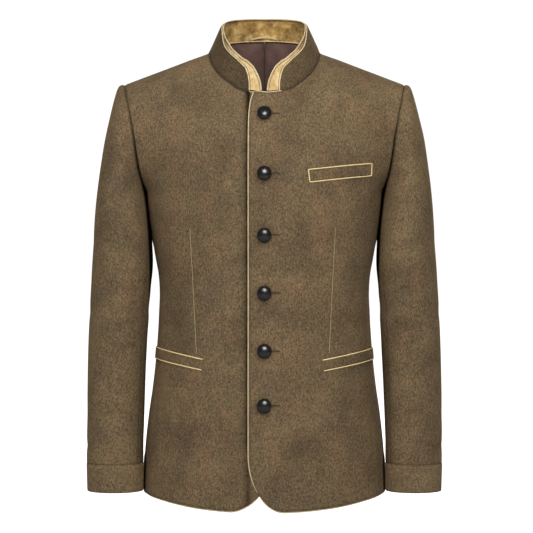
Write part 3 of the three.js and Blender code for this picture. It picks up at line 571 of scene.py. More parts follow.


# Suede: the split side of a hide, sueded and dyed. It gives a soft cloudy face with a fine nap. Toward the
# back it is painted darker, as shade, and more mottled. On a panel, its painted shade is a warm brown.
def makeSuede(name, colours, cloud=14, paintedShade=1.0, panelled=True):
    material, tree = newMaterial(name)
    place = addNode(tree, "ShaderNodeTexCoord").outputs["Object"]
    grain = (place, 1.7, 2, 0.7)
    behind = addNode(tree, "ShaderNodeSeparateXYZ", {"Vector": place}).outputs["Y"]
    reach = {"Value": behind, "From Min": -0.045, "From Max": 0.04, "To Max": paintedShade}
    behind = addNode(tree, "ShaderNodeMapRange", reach).outputs[0]
    base = layered(tree, cloudy(tree, place, cloud, 3, 0.6, colours), [
        (1.0, mottled(tree, *grain, 0.35, 0.65, 0.90, 1.08), "MULTIPLY"),
        (behind, linear("#d0c2a4"), "MULTIPLY"),
        (behind, mottled(tree, place, 13, 4, 0.65, 0.34, 0.66, 0.4, 1.5), "MULTIPLY"),
    ])
    if panelled:
        seams = layered(tree, linear("#5a3814"), [(paintedShadeAndCloudsOf(tree)[0], linear("#ffffff"), "MIX")])
        base = layered(tree, base, [(1.0, seams, "MULTIPLY")])
    finish(tree, {
        "Base Color": base, "Roughness": 0.95, "Specular IOR Level": 0.15, "Sheen Weight": 0.25,
        "Sheen Roughness": 0.5, "Sheen Tint": linear("#f0d9a8"),
    }, mottled(tree, *grain), 0.4, 0.25)
    return material


# Satin lining: smooth viscose, woven fine. It gives a dark plum face with a low soft gloss. Its ribs are
# drawn coarser than the real threads, so that they show.
def makeLining():
    material, tree = newMaterial("viscose satin lining")
    place = addNode(tree, "ShaderNodeTexCoord").outputs["Object"]
    threads = addNode(tree, "ShaderNodeUVMap", uv_map="cut").outputs["UV"]
    ribs = addNode(tree, "ShaderNodeMapping", {"Vector": threads, "Scale": (1, 0.3, 1)}).outputs[0]
    weave = (ribs, 1.8, 1, 0.5)
    colours = [(0.3, "#604844"), (0.5, "#70554d"), (0.75, "#7f6256")]
    # The painted shade of the lining's panel darkens its colour.
    base = layered(tree, cloudy(tree, place, 26, 2, 0.5, colours), [
        (1.0, mottled(tree, *weave, 0.3, 0.7, 0.92, 1.08), "MULTIPLY"), (1.0, paintedShadeAndCloudsOf(tree)[0], "MULTIPLY"),
    ])
    finish(tree, {
        "Base Color": base, "Roughness": 0.5, "Specular IOR Level": 0.4, "Sheen Weight": 0.15,
        "Sheen Tint": linear("#a08488"),
    }, mottled(tree, *weave), 0.25, 0.1)
    return material


# Twisted sewing thread: polyester, dull. The twist shows as fine light and dark along it.
def makeThread(name, colour):
    material, tree = newMaterial(name)
    place = addNode(tree, "ShaderNodeTexCoord").outputs["Object"]
    twist = mottled(tree, place, 1.1, 1, 0.5, 0.3, 0.7, 0.78, 1.15)
    base = layered(tree, linear(colour), [(1.0, twist, "MULTIPLY")])
    finish(tree, {"Base Color": base, "Roughness": 0.7, "Specular IOR Level": 0.3, "Sheen Weight": 0.2})
    return material


# Buttons: black polyester, moulded and polished by tumbling. That leaves soft highlights and faint scuffs.
def makeButtonBlack():
    material, tree = newMaterial("polished black polyester")
    scuffs = (addNode(tree, "ShaderNodeTexCoord").outputs["Object"], 3.2, 3, 0.6)
    finish(tree, {
        "Base Color": cloudy(tree, *scuffs, [(0.3, "#010101"), (0.7, "#040405")]),
        "Roughness": mottled(tree, *scuffs, 0.3, 0.7, 0.22, 0.3), "Specular IOR Level": 0.8, "IOR": 1.5,
    })
    return material


clothSizes = {
    "cloud": 60, "patch": 34, "speckle": 2.5, "fibre": 2.1, "nap": 0.55, "sheen": 0.2,
    "colours": [(0.30, "#5f503b"), (0.44, "#695942"), (0.56, "#6f5f46"), (0.72, "#7a674b")],
    "warm": "#80644a", "warmth": 0.5, "cool": "#584c3f", "dusk": 0.42, "contrast": (0.5, 1.58),
    "fleck": "#a38a63", "dark": "#3d3224", "shift": (0.137, 0.0, 0.052),
}
loden = makeCloth("milled brown loden", clothSizes)
darkLoden = makeCloth("milled brown loden of the collar", clothSizes, 0.72)
cuffLoden = makeCloth("milled brown loden of the cuffs", clothSizes, 1.1)
suede = makeSuede("tan goat suede", [
    (0.3, "#c8a56c"), (0.46, "#dabb84"), (0.58, "#e6cd9c"), (0.74, "#f1dfb4"),
])
loopSuede = makeSuede("pale suede of the loop", [(0.3, "#cdb07a"), (0.7, "#e2ca98")], 8, 0, False)
pipingSuede = makeSuede("pale suede cord", [(0.3, "#d8bf90"), (0.7, "#ecdcb2")], 8, 0.25, False)
pocketSuede = makeSuede("pale suede piping of the pockets", [(0.3, "#f6d595"), (0.7, "#ffe7b0")], 8, 0, False)
lining = makeLining()
darkThread = makeThread("dark brown thread", "#2c2016")
brownThread = makeThread("brown thread", "#5e4d38")
# This cord material stands in for the shadow in the neck seams.
neckSeamShadowMaterial = makeThread("dull brown painted seam shadow", "#4a3c2b")
paleThread = makeThread("pale thread", "#b8a075")
buttonBlack = makeButtonBlack()
print("materials made")


# Making pieces
def addPiece(name, bm, material, nodes=(), angle=38):
    mesh = bpy.data.meshes.new(name)
    bm.to_mesh(mesh)
    bm.free()
    mesh.materials.append(material)
    mesh.shade_smooth()
    mesh.set_sharp_from_angle(angle=math.radians(angle))
    piece = bpy.data.objects.new(name, mesh)
    bpy.context.scene.collection.objects.link(piece)
    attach(piece, "root")
    if nodes:
        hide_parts(*nodes)
    return piece


# A sheet on a panel: a grid laid on its net, given its thickness inwards, with its rim eased
def sheetPiece(name, panel, thickness, material, nodes, rim=0.45):
    points, normals = panel["points"], panel["normals"]
    rows, columns = points.shape[0] - 1, points.shape[1] - 1
    bm = bmesh.new()
    # The second map carries the panel's painted shade, with the darker clouds of the cloth, and their warmth.
    cut, wear = bm.loops.layers.uv.new("cut"), bm.loops.layers.uv.new("wear")
    bmesh.ops.create_grid(bm, x_segments=columns, y_segments=rows, size=0.5)
    cells = {v: (round((v.co.y + 0.5) * rows), round((v.co.x + 0.5) * columns)) for v in bm.verts}
    for vert, (j, i) in cells.items():
        vert.co = Vector(points[j, i]) * mm
    for face in bm.faces:
        for loop in face.loops:
            j, i = cells[loop.vert]
            loop[cut].uv = (panel["across"][j, i] * mm, panel["along"][j, i] * mm)
            loop[wear].uv = (panel["shade"][j, i], panel["warm"][j, i])
    bm.normal_update()

    def inside(vert):
        j, i = cells[vert]
        return min(j, rows - j) + min(i, columns - i)

    middle = max(cells, key=inside)
    if middle.normal.dot(Vector(normals[cells[middle]])) < 0:
        bmesh.ops.reverse_faces(bm, faces=bm.faces[:])
    if panel["ring"]:
        bmesh.ops.remove_doubles(bm, verts=bm.verts[:], dist=1e-6)
    bm.normal_update()
    bmesh.ops.solidify(bm, geom=bm.faces[:], thickness=thickness * mm)
    bm.normal_update()
    sharp = [e for e in bm.edges if len(e.link_faces) == 2 and e.calc_face_angle() > math.radians(60)]
    bmesh.ops.bevel(bm, geom=sharp, offset=rim * mm, offset_type="OFFSET", segments=2, profile=0.5,
                    affect="EDGES", material=-1, clamp_overlap=True)
    return addPiece(name, bm, material, nodes)


def cordPiece(name, lines, radius, material, nodes=(), closed=False):
    curve = bpy.data.curves.new(name, "CURVE")
    curve.dimensions = "3D"
    curve.bevel_depth = radius * mm
    curve.bevel_resolution = 3
    curve.use_fill_caps = True
    for line in lines:
        spline = curve.splines.new("POLY")
        spline.points.add(len(line) - 1)
        spline.use_cyclic_u = closed
        for point, place in zip(spline.points, line):
            point.co = (*(Vector(place) * mm), 1)
    drawn = bpy.data.objects.new(name + "Line", curve)
    bpy.context.scene.collection.objects.link(drawn)
    bm = bmesh.new()
    bm.from_mesh(drawn.to_mesh())
    drawn.to_mesh_clear()
    bpy.data.objects.remove(drawn)
    bpy.data.curves.remove(curve)
    bmesh.ops.remove_doubles(bm, verts=bm.verts[:], dist=1e-7)
    bmesh.ops.recalc_face_normals(bm, faces=bm.faces[:])
    return addPiece(name, bm, material, nodes, 50)


# Stitches: one small bead of thread for each, lying along its line on the cloth
def stitchPiece(name, rows, sizes, material):
    bm = bmesh.new()
    for line, normals in rows:
        for k in range(len(line) - 1):
            middle = (line[k] + line[k + 1]) / 2
            ahead = unit(line[k + 1] - line[k])
            up = unit(normals[k] - ahead * np.dot(normals[k], ahead))
            turn = Matrix(np.column_stack([ahead, np.cross(up, ahead), up]).tolist()).to_4x4()
            size = Matrix.Diagonal((sizes["length"] / 2, sizes["radius"], sizes["radius"] * 0.8, 1)) * mm
            size[3][3] = 1
            bmesh.ops.create_icosphere(bm, subdivisions=1, radius=1,
                                       matrix=Matrix.Translation(Vector(middle) * mm) @ turn @ size)
    return addPiece(name, bm, material, (), 80)


# The places and the normals of what was found on a panel, as one row of stitches
def rowOf(found):
    return np.array([p for p, n in found]), np.array([n for p, n in found])


def stitchLines(name, panel, lines, sizes, material):
    rows = [rowOf([nearPanel(panel, p, sizes["lift"]) for p in walk(line, sizes["step"])]) for line in lines]
    return stitchPiece(name, rows, sizes, material)


# The body
bodySizes = {
    "left": {"edge": -25, "cornerWide": 58, "cornerTall": 92, "setback": 0, "drop": 0},
    "right": {"edge": -23, "cornerWide": 82, "cornerTall": 122, "setback": 3.7, "drop": 0.7},
    "columns": 84, "rows": 200,
    "liningColumns": 150, "liningRows": 80, "liningDepth": 3.4, "liningThickness": 1.0,
    "dart": {"left": (114.5, 104.5), "right": (120, 109.5), "top": -295, "bottom": -496},
    "sideSeam": ((171.5, -390), (179, -742)),
}


def lineDepth(x, z, ends, depth, half):
    (x1, z1), (x2, z2) = ends
    t = (z - z1) / (z2 - z1)
    off = x - mix(x1, x2, t)
    return depth * smooth(t, -0.02, 0.1) * smooth(-t, -1.02, -0.93) * bell(off, half)


def frontShape(name, side):
    dart = bodySizes["dart"]
    ends = ((dart[name][0], dart["top"]), (dart[name][1], dart["bottom"]))

    def shape(u, v, p):
        x, z = p[..., 0] * side, p[..., 2]
        fade = (1 - u ** 10) * (1 - v ** 14)
        depth = creaseDepth(frontCreases, x, z, 0.4 + side) * fade + clothWaves(p[..., 0], z, 0.7) * fade
        return depth + lineDepth(x, z, ends, 1.0, 2.6) + lineDepth(x, z, bodySizes["sideSeam"], 0.8, 2.0)

    return shape


def backShape(side):
    def shape(u, v, p):
        x, z = p[..., 0] * side, p[..., 2]
        fade = (1 - u ** 10) * (1 - v ** 14)
        seam = smooth(x, 0, 26)
        return creaseDepth(backCreases, x, z, 1.1 * side) * fade + clothWaves(p[..., 0], z, 2.9) * fade * seam

    return shape


buttonSizes = {"radius": 11.5, "dome": 7.2, "rim": 1.4, "shankRadius": 2.6, "shank": 1.3, "lift": 0.4,
               "heights": (-109, -207, -306, -399, -492, -579)}
# Where parts of the body lie in shadow: how dark, from and to what depth below the shoulder, how wide
shadows = {
    "armhole": {"dark": (0.15, 0.9), "from": 95, "to": 215, "wide": 1.6, "frontWide": 2.6, "sleeveWide": 7},
    "flank": {"dark": 0.96, "from": 590, "to": 625, "full": (1.2, 4.2), "wide": (3.4, 7)},
    "overlap": {"dark": (0.96, 0.6), "from": 610, "to": 700, "x": -27.5, "wide": 4.4},
    "button": {"dark": 0.5, "x": -1.5, "drop": 2, "wide": 14.5},
    "backArmpit": {"dark": 0.985, "from": 326, "to": 352, "wide": 30},
    "backCuff": {"dark": 0.9, "from": 640, "to": 675, "wide": 7},
}


# The cloth beside an armhole lies in shadow, the more the nearer to the armpit.
def armholeShade(z, away, reach):
    own = shadows["armhole"]
    low = smooth(-z, own["from"], own["to"])
    return 1 - mix(*own["dark"], low) * bell(away, mix(own["wide"], reach, low))


# A front gets painted shadow beside the armhole, at the side behind the cuff, and under the other front or,
# on the left, round the buttons.
def frontPaintedShade(points, distances):
    side, over, button = shadows["flank"], shadows["overlap"], shadows["button"]
    x, z = points[..., 0], points[..., 2]
    shade = armholeShade(z, distances["end"], shadows["armhole"]["frontWide"])
    shade = mix(1, shade, smooth(z, -244, -226))
    outwards = np.abs(x) - torso(np.array(90.0), z)[..., 0]
    low = smooth(-z, 650, 690)
    beside = smooth(-z, side["from"], side["to"])
    beside = beside * smooth(outwards, -mix(*side["wide"], low), -mix(*side["full"], low))
    shade = shade * (1 - side["dark"] * beside)
    if x.mean() < 0:
        covered = np.exp(-np.maximum(over["x"] - x, 0) / over["wide"]) * smooth(-x, 18, 26)
        return shade * (1 - mix(*over["dark"], smooth(-z, over["from"], over["to"])) * covered)
    for height in buttonSizes["heights"]:
        away = np.hypot(x - button["x"], z - height + button["drop"]) / button["wide"]
        shade = shade * (1 - button["dark"] * np.exp(-away ** 4))
    return shade


# A back gets painted shadow under the sleeve and behind the cuff.
def backPaintedShade(points, distances):
    armpit, cuff = shadows["backArmpit"], shadows["backCuff"]
    z, away = points[..., 2], distances["end"]
    under = smooth(z, -armpit["to"], -armpit["from"]) * smooth(-z, 150, 200)
    under = under * np.exp(-(away / armpit["wide"]) ** 6)
    beside = smooth(-z, cuff["from"], cuff["to"]) * np.exp(-(away / cuff["wide"]) ** 4)
    return (1 - armpit["dark"] * under) * (1 - cuff["dark"] * beside)


panels = {}
sides = (("left", 1), ("right", -1))
for name, side in sides:
    seams = [("end", 0.9, 1.9), ("high", 0.5, 1.9)]
    panels[name + "_front"] = makePanel(
        frontPlace(bodySizes[name]), bodySizes["columns"], bodySizes["rows"], 1, side, frontShape(name, side),
        seams + [("start", 0.35, 1.2), ("low", 0.35, 1.2)], paintedShade=frontPaintedShade)
    panels[name + "_back"] = makePanel(
        backPlace, bodySizes["columns"], bodySizes["rows"], -1, side, backShape(side),
        seams + [("start", 0.9, 1.9)], paintedShade=backPaintedShade)


# The lining hangs inside the back, loose enough to fall in soft folds. Its seam is at the back middle.
def liningPlace(u, v):
    w = 2 * u - 1
    p = backPlace(np.minimum(np.abs(w), 0.985), np.minimum(mix(0.5, 1, v), 0.994))
    p[..., 0] *= np.sign(w)
    return p


def liningFolds(x, z):
    return creaseDepth(liningCreases, np.abs(x), z, 0.8 + np.sign(x)) + 0.5 * clothWaves(x, z, 4.1)


# Painted shade on the lining: lighter and darker along its folds and darker toward the bottom; it is also
# darker along its middle seam.
def liningPaintedShade(points, distances):
    x, z = points[..., 0], points[..., 2]
    shade = 1.3 - 0.2 * np.clip(liningFolds(x, z), -1.5, 2.5)
    return shade * (1 - 0.35 * bell(x, 3)) * mix(1, 0.62, smooth(-z, -14, 48))


def liningShape(u, v, p):
    x, z = p[..., 0], p[..., 2]
    folds = liningFolds(x, z)
    fade = smooth(v, 0, 0.06) * smooth(1 - v, 0, 0.05) * smooth(1 - np.abs(2 * u - 1), 0, 0.06)
    seam = 1.2 * (1 - bell(x, 2.2)) * fade
    return bodySizes["liningDepth"] + np.maximum(folds, -0.3) * fade * smooth(np.abs(x), 1, 12) + seam


panels["back_lining"] = makePanel(
    liningPlace, bodySizes["liningColumns"], bodySizes["liningRows"], -1, 1, liningShape, paintedShade=liningPaintedShade)

for name in ("left_front", "right_front", "left_back", "right_back"):
    sheetPiece(name + "_cloth", panels[name], clothThickness, loden, [name])
sheetPiece("back_lining_satin", panels["back_lining"], bodySizes["liningThickness"], lining,
           ["back_lining"], 0.2)
print("body made")

# The sleeves
sleeveSizes = {
    "top": {"from": -60, "to": 225, "columns": 92}, "under": {"from": 225, "to": 300, "columns": 34},
    "rows": 170, "headShare": 7 / 16, "cuffColumns": 120, "cuffRows": 22, "cuffProud": 0.5,
    "cuffThicker": 0.4, "easeRipples": 0.35, "armpitBulge": 4,
}
cuffShare = (bicepsZ - cuffTopZ) / (bicepsZ - cuffBottomZ)


def sleeveNet(cut):
    def angleAt(u):
        return mix(cut["from"] + 0.2, cut["to"] - 0.2, u)

    def place(u, v):
        head = sleeveSizes["headShare"]
        t = np.where(v <= head, np.minimum(v / head, 1) ** 1.25, 1 + cuffShare * (v - head) / (1 - head))
        return sleevePlace(angleAt(u), t)

    return angleAt, place


def sleeveShape(angleAt, side):
    def shape(u, v, p):
        angle, z = angleAt(u), p[..., 2]
        fade = smooth(v, 0.01, 0.12) * smooth(1 - v, 0, 0.05)
        head = smooth(v, 0.0, 0.02) * smooth(-v, -0.16, -0.05)
        ease = head * smooth(angle, 20, 60) * smooth(-angle, -170, -120)
        x, y = np.abs(p[..., 0]), p[..., 1]
        armpit = bell(z + 239, 13) * smooth(y, -12, 4) * smooth(-y, -75, -45) * smooth(-x, -216, -203)
        creases = creaseDepth(sleeveCreases, angle, z, 0.9 * side) + clothWaves(angle, z, 1.7 + side)
        ripples = sleeveSizes["easeRipples"] * np.sin(angle / 2.3) * ease
        return creases * fade + ripples - sleeveSizes["armpitBulge"] * armpit

    return shape


# The inner side of a sleeve lies in the shadow of the body: z, and x where the full shadow ends.
sleeveShadow = [
    (-440, 187.5), (-396, 189.4), (-362, 188.2), (-321, 189.8), (-295, 191.6), (-239, 199), (-200, 205),
]


# A sleeve gets painted shadow on its inner side, deepest where the body shades it, and beside the armhole.
def sleevePaintedShade(points, distances):
    x, z = np.abs(points[..., 0]), points[..., 2]
    outer, inner = readTable(sleeveRings, 1, z), readTable(sleeveRings, 2, z)
    inwards = np.degrees(np.arccos(np.clip(1 - (x - inner) / ((outer - inner) / 2), -1, 1)))
    shade = 1 - mix(0.5, 0.75, smooth(-z, 400, 520)) * smooth(-z, 165, 225) * bell(inwards, 30)
    deep = smooth(z, -440, -390) * smooth(-z, 190, 225)
    shade = shade * (1 - 0.985 * deep * smooth(readTable(sleeveShadow, 1, z) - x, -2.2, 1.2))
    front = smooth(-points[..., 1], -20, 10)
    return shade * mix(1, armholeShade(z, distances["low"], shadows["armhole"]["sleeveWide"]), front)


def cuffNet(u, v):
    start = 1 + (bicepsZ - cuffTopZ + sewnGap) / (bicepsZ - cuffBottomZ)
    return sleevePlace(-90 + 360 * u, mix(start, 2, v), sleeveSizes["cuffProud"])


sleeveSeams = [("start", 0.9, 1.9), ("end", 0.9, 1.9), ("low", 1.0, 1.9), ("high", 0.4, 1.3)]
for name, side in sides:
    for part in ("top", "under"):
        angleAt, net = sleeveNet(sleeveSizes[part])
        node = name + "_" + part + "_sleeve"
        panels[node] = makePanel(net, sleeveSizes[part]["columns"], sleeveSizes["rows"], -1, side,
                                 sleeveShape(angleAt, side), sleeveSeams, paintedShade=sleevePaintedShade)
        sheetPiece(node + "_cloth", panels[node], clothThickness, loden, [node])
    cuff = name + "_cuff"
    panels[cuff] = makePanel(cuffNet, sleeveSizes["cuffColumns"], sleeveSizes["cuffRows"], -1, side, None,
                             [("low", 0.35, 1.2), ("high", 0.4, 1.2)], True)
    thickness = clothThickness + sleeveSizes["cuffThicker"]
    sheetPiece(cuff + "_cloth", panels[cuff], thickness, cuffLoden, [cuff])
print("sleeves made")

# The collar
collarSizes = {"columns": 200, "rows": 36, "inward": 2.8, "piping": 0.85, "stitchDrop": 6.5, "puckers": 0.3,
               "footCord": 1.1, "footRise": 0.2, "rimStep": 1.6}


def collarNet(layer, inward):
    def place(u, v):
        start, rim = readTable(collarFronts, layer, v), collarFronts[2][layer]
        angle, top = mix(start, 360 - start, u), mix(rim, 360 - rim, u)
        foot = readTable(collarFeet, layer, folded(angle))
        return collarPlace(angle, mix(foot, readTable(collarHeights, layer, folded(top)), v), inward)

    return place


def facingShape(u, v, p):
    angle = mix(11, 349, u)
    behind = smooth(folded(angle), 70, 115)
    drop = (1 - v) * 40
    stitched = 1 - bell(drop - collarSizes["stitchDrop"], 1.5)
    reach = bell(drop - 9, 5.5)
    puckers = np.sin(angle * 1.9 + 2 * np.sin(angle / 9)) * reach * collarSizes["puckers"]
    soft = 0.35 * np.sin(angle / 11 + 3 * v) * smooth(v, 0, 0.3) * smooth(1 - v, 0, 0.3)
    return behind * (0.45 * stitched + puckers + soft) * smooth(v, 0, 0.08) * smooth(1 - v, 0, 0.04)


# Painted shadow on the facing: under its top edge at the back and high on its front ends; it is also darker
# in an uneven line along its stitching at the back.
def facingPaintedShade(points, distances):
    drop, behind = distances["high"], smooth(points[..., 1], -30, 20)
    x = points[..., 0]
    uneven = 0.6 + 0.4 * np.sin(x / 6 + np.sin(x / 2.3))
    stitched = bell(drop - collarSizes["stitchDrop"], 1.5) * uneven
    ahead = 0.72 * smooth(points[..., 2], -8, 18) * (1 - behind)
    return (1 - 0.9 * bell(drop, 2.4) * behind) * (1 - 0.38 * behind * stitched) * (1 - ahead)


# Painted shade on the collar: darker near its foot, and darker over the front on the minus-x side.
def collarPaintedShade(points, distances):
    shade = 1 - 0.16 * bell(distances["low"], 5)
    return shade * mix(1, 0.7, smooth(-points[..., 0], 0, 20) * smooth(-points[..., 1], -20, 20))


def collarShape(u, v, p):
    return 0.25 * np.sin(p[..., 0] / 19 + p[..., 2] / 23) * smooth(v, 0, 0.2) * smooth(1 - v, 0, 0.2)


panels["collar"] = makePanel(
    collarNet(1, 0), collarSizes["columns"], collarSizes["rows"], 1, 1, collarShape,
    [("low", 0.5, 1.6), ("high", 0.3, 1.0)], paintedShade=collarPaintedShade)
panels["collar_facing"] = makePanel(
    collarNet(2, collarSizes["inward"]), collarSizes["columns"], collarSizes["rows"], 1, 1, facingShape,
    [("high", 0.15, 0.8)], paintedShade=facingPaintedShade)
sheetPiece("collar_cloth", panels["collar"], clothThickness, darkLoden, ["collar"])
sheetPiece("collar_facing_suede", panels["collar_facing"], suedeThickness, suede,
           ["collar_facing"], 0.3)


# A line round the front ends and the top of the collar, out beyond its edge and deep below its face
def rimLine(panel, out, deep, low=1):
    def edge(net):
        return np.concatenate([net[low:, 0], net[-1, 1:-1], net[low:, -1][::-1]])

    return edgeLine(panel, edge, collarSizes["rimStep"], out, deep, -1)


beyond = collarSizes["piping"] + sewnGap
shellRim = rimLine(panels["collar"], beyond, clothThickness / 2)
facingRim = rimLine(panels["collar_facing"], beyond, suedeThickness / 2)
footAngles = np.linspace(98, 262, 90)
footHeights = readTable(collarFeet, 2, folded(footAngles)) + collarSizes["footRise"]
footDepth = collarSizes["inward"] + suedeThickness + collarSizes["footCord"]
footLine = collarPlace(footAngles, footHeights, footDepth)
cordPiece("collar_piping_suede", [shellRim], collarSizes["piping"], pipingSuede, ["collar_piping"])
cordPiece("facing_piping_suede", [facingRim, footLine], collarSizes["piping"], pipingSuede,
          ["facing_piping"])

# The hanger loop: a short suede strap that arches off the back of the facing
loopSizes = {"half": 24, "rise": 4, "wide": 3.2, "bow": 3.5, "inward": 6.0, "thick": 1.2}


def loopNet(u, v):
    x = mix(loopSizes["half"], -loopSizes["half"], u)
    arch = np.sin(math.pi * u) ** 0.7
    angle = 180 - np.degrees(np.arcsin(x / neck["half"]))
    return collarPlace(angle, 2 + loopSizes["rise"] * arch + loopSizes["wide"] * v,
                       loopSizes["inward"] + loopSizes["bow"] * arch)


def loopShape(u, v, p):
    return -0.5 * np.sin(math.pi * v)


panels["hanger_loop"] = makePanel(loopNet, 60, 8, -1, 1, loopShape)
sheetPiece("hanger_loop_suede", panels["hanger_loop"], loopSizes["thick"], loopSuede,
           ["hanger_loop"], 0.3)
print("collar made")

# Piping on the cut edges of the fronts, from the collar's end down the front and along the hem
pipingSizes = {"edge": 0.9, "pocket": 0.95, "dart": 0.42, "neckShare": 1.9 / 14, "side": 0.99, "step": 2.2}


def cutEdge(name, out, deep):
    panel, side = panels[name + "_front"], 1 if name == "left" else -1
    shares = spread(bodySizes["columns"])
    onNeck = int(np.searchsorted(shares, pipingSizes["neckShare"]))
    toSide = int(np.searchsorted(shares, pipingSizes["side"]))

    def edge(net):
        return np.concatenate([net[-1, 1:onNeck + 1][::-1], net[:, 0][::-1], net[0, 1:toSide]])

    return edgeLine(panel, edge, pipingSizes["step"], out, deep, side)


for name in ("left", "right"):
    line = cutEdge(name, pipingSizes["edge"] + sewnGap, clothThickness / 2)
    cordPiece(name + "_front_piping_suede", [line], pipingSizes["edge"], pipingSuede,
              [name + "_front_piping"])

# The pockets: a welt of the cloth between lines of piping
chestSizes = {"x": 70.5, "z": -211.3, "width": 104, "rise": 12.5, "tall": 20, "skew": 2.4}
hipSizes = {"inner": {"left": 93.4, "right": 99.1}, "drop": {"left": 2.0, "right": 0.6}, "slant": 3.4,
            "innerZ": -505.4, "outerZ": -489.3, "tall": 18, "reach": 0.985}
weltSizes = {"lift": 1.35, "thick": 1.2, "columns": 50, "rows": 12, "from": 0.09, "to": 0.91}


def chestPlace(u, v, lift):
    x = chestSizes["x"] + chestSizes["width"] * u + chestSizes["skew"] * (1 - v) * (1 - 1.3 * u)
    z = chestSizes["z"] + chestSizes["rise"] * u + chestSizes["tall"] * (v - 0.5)
    return onPanel(panels["left_front"], x, z, lift)[0]


def hipPlace(name, side):
    def place(u, v, lift):
        share = math.sin(u * math.pi / 2)
        z = mix(hipSizes["innerZ"], hipSizes["outerZ"], share) - hipSizes["drop"][name]
        z = z + hipSizes["tall"] * (v - 1)
        inner = hipSizes["inner"][name] - hipSizes["slant"] * (1 - v)
        x = mix(inner, torso(np.array(90.0), np.array(z))[0], share)
        p = torso(angleOf(np.array(x), np.array(z)), np.array(z))
        p = torso(angleOf(np.array(2 * x - p[0]), np.array(z)), np.array(z)) * np.array([side, 1, 1])
        return nearPanel(panels[name + "_front"], p, lift)[0]

    return place


def weltShape(u, v, p):
    return -0.35 * np.sin(math.pi * v)


def makeWelt(name, placeAt, start, end, side):
    def place(u, v):
        net = np.zeros(u.shape + (3,))
        for spot in np.ndindex(u.shape):
            height = mix(weltSizes["from"], weltSizes["to"], v[spot])
            net[spot] = placeAt(mix(start, end, u[spot]), height, weltSizes["lift"])
        return net

    panels[name] = makePanel(place, weltSizes["columns"], weltSizes["rows"], side, 1, weltShape)
    sheetPiece(name + "_cloth", panels[name], weltSizes["thick"], loden, [name], 0.3)


def pocketPiping(name, placeAt, corners, closed=False, count=26):
    line, lift = [], pipingSizes["pocket"] + 0.1
    for (u1, v1), (u2, v2) in zip(corners, corners[1:]):
        line += [placeAt(mix(u1, u2, k / count), mix(v1, v2, k / count), lift) for k in range(count)]
    cordPiece(name + "_suede", [line], pipingSizes["pocket"], pocketSuede, [name], closed)


makeWelt("chest_welt", chestPlace, 0.016, 0.984, 1)
box = [(0.01, 1), (0.99, 1), (1, 0.95), (1, 0.05), (0.99, 0), (0.01, 0), (0, 0.05), (0, 0.95), (0.01, 1)]
pocketPiping("chest_piping", chestPlace, box, True)
for name, side in sides:
    placeAt, reach = hipPlace(name, side), hipSizes["reach"]
    makeWelt(name + "_hip_welt", placeAt, 0.0, reach - 0.02, side)
    pocketPiping(name + "_hip_piping", placeAt, [(0, 1), (reach, 1), (reach, 0), (0, 0)])
print("pockets made")

# Buttons: turned as one round, with a flat back on a short shank


def buttonPiece(name, place, normal, node):
    shankRadius, shank, radius = buttonSizes["shankRadius"], buttonSizes["shank"], buttonSizes["radius"]
    rim, dome, turns = buttonSizes["rim"], buttonSizes["dome"], 12
    outline = [(0, 0), (shankRadius, 0), (shankRadius, shank), (radius * 0.84, shank),
               (radius * 0.95, shank + rim * 0.3), (radius, shank + rim)]
    for k in range(1, turns + 1):
        turn = k / turns * math.pi / 2
        outline.append((radius * math.cos(turn), shank + rim + (dome - rim) * math.sin(turn)))
    bm = bmesh.new()
    verts = [bm.verts.new((max(r, 0) * mm, 0, h * mm)) for r, h in outline]
    edges = [bm.edges.new(pair) for pair in zip(verts, verts[1:])]
    bmesh.ops.spin(bm, geom=verts + edges, cent=(0, 0, 0), axis=(0, 0, 1), angle=2 * math.pi, steps=40,
                   use_merge=True)
    bmesh.ops.remove_doubles(bm, verts=bm.verts[:], dist=1e-6)
    bmesh.ops.recalc_face_normals(bm, faces=bm.faces[:])
    turn = Vector((0, 0, 1)).rotation_difference(Vector(normal)).to_matrix().to_4x4()
    bmesh.ops.transform(bm, matrix=Matrix.Translation(Vector(place) * mm) @ turn, verts=bm.verts[:])
    return addPiece(name, bm, buttonBlack, [node], 30)


for k, z in enumerate(buttonSizes["heights"]):
    place, normal = onPanel(panels["left_front"], 0, z, buttonSizes["lift"])
    buttonPiece("button_dome_" + str(k + 1), place, normal, "button_" + str(k + 1))
print("buttons made")

# Sewing: buttonholes, darts, topstitching and bars
holeSizes = {"from": 8, "to": 24.5, "half": 1.25, "pitch": 1.15, "slit": 0.6,
             "bead": {"length": 1.9, "radius": 0.42}}
stitchSizes = {
    "edge": {"inset": -3.1, "step": 3.0, "length": 2.5, "radius": 0.33, "lift": 0.12},
    "facing": {"inset": -1.5, "step": 2.4, "length": 2.9, "radius": 0.62, "lift": -0.05},
    "ditch": {"inset": 2.7, "step": 2.4, "length": 2.9, "radius": 0.55, "lift": -0.05, "behind": -14},
    "lining": {"step": 2.6, "length": 3.1, "radius": 0.6, "lift": -1.2},
    "cuff": {"z": -682.5, "step": 2.8, "length": 2.2, "radius": 0.3, "lift": 0.1},
    "side": {"step": 3.0, "length": 2.6, "radius": 0.3, "lift": 0.1},
}

slits, beads = [], []
for z in buttonSizes["heights"]:
    row = np.linspace(holeSizes["from"], holeSizes["to"], 14)
    slits.append([onPanel(panels["left_front"], x, z, 0.05)[0] for x in row])
    for edge in (-1, 1):
        for x in np.arange(holeSizes["from"], holeSizes["to"], holeSizes["pitch"]):
            heights = [z + edge * (holeSizes["half"] + e) for e in (-0.7, 0.7)]
            beads.append(rowOf([onPanel(panels["left_front"], x, height, 0.12) for height in heights]))
    for x in (holeSizes["to"] + 0.4, holeSizes["to"] + 1.1):
        beads.append(rowOf([onPanel(panels["left_front"], x, z + e, 0.15) for e in (-1.2, 1.2)]))
# A dark cord along each slit stands in for the shadow inside it.
cordPiece("buttonhole_slits", slits, holeSizes["slit"], darkThread)
stitchPiece("buttonhole_threads", beads, holeSizes["bead"], brownThread)

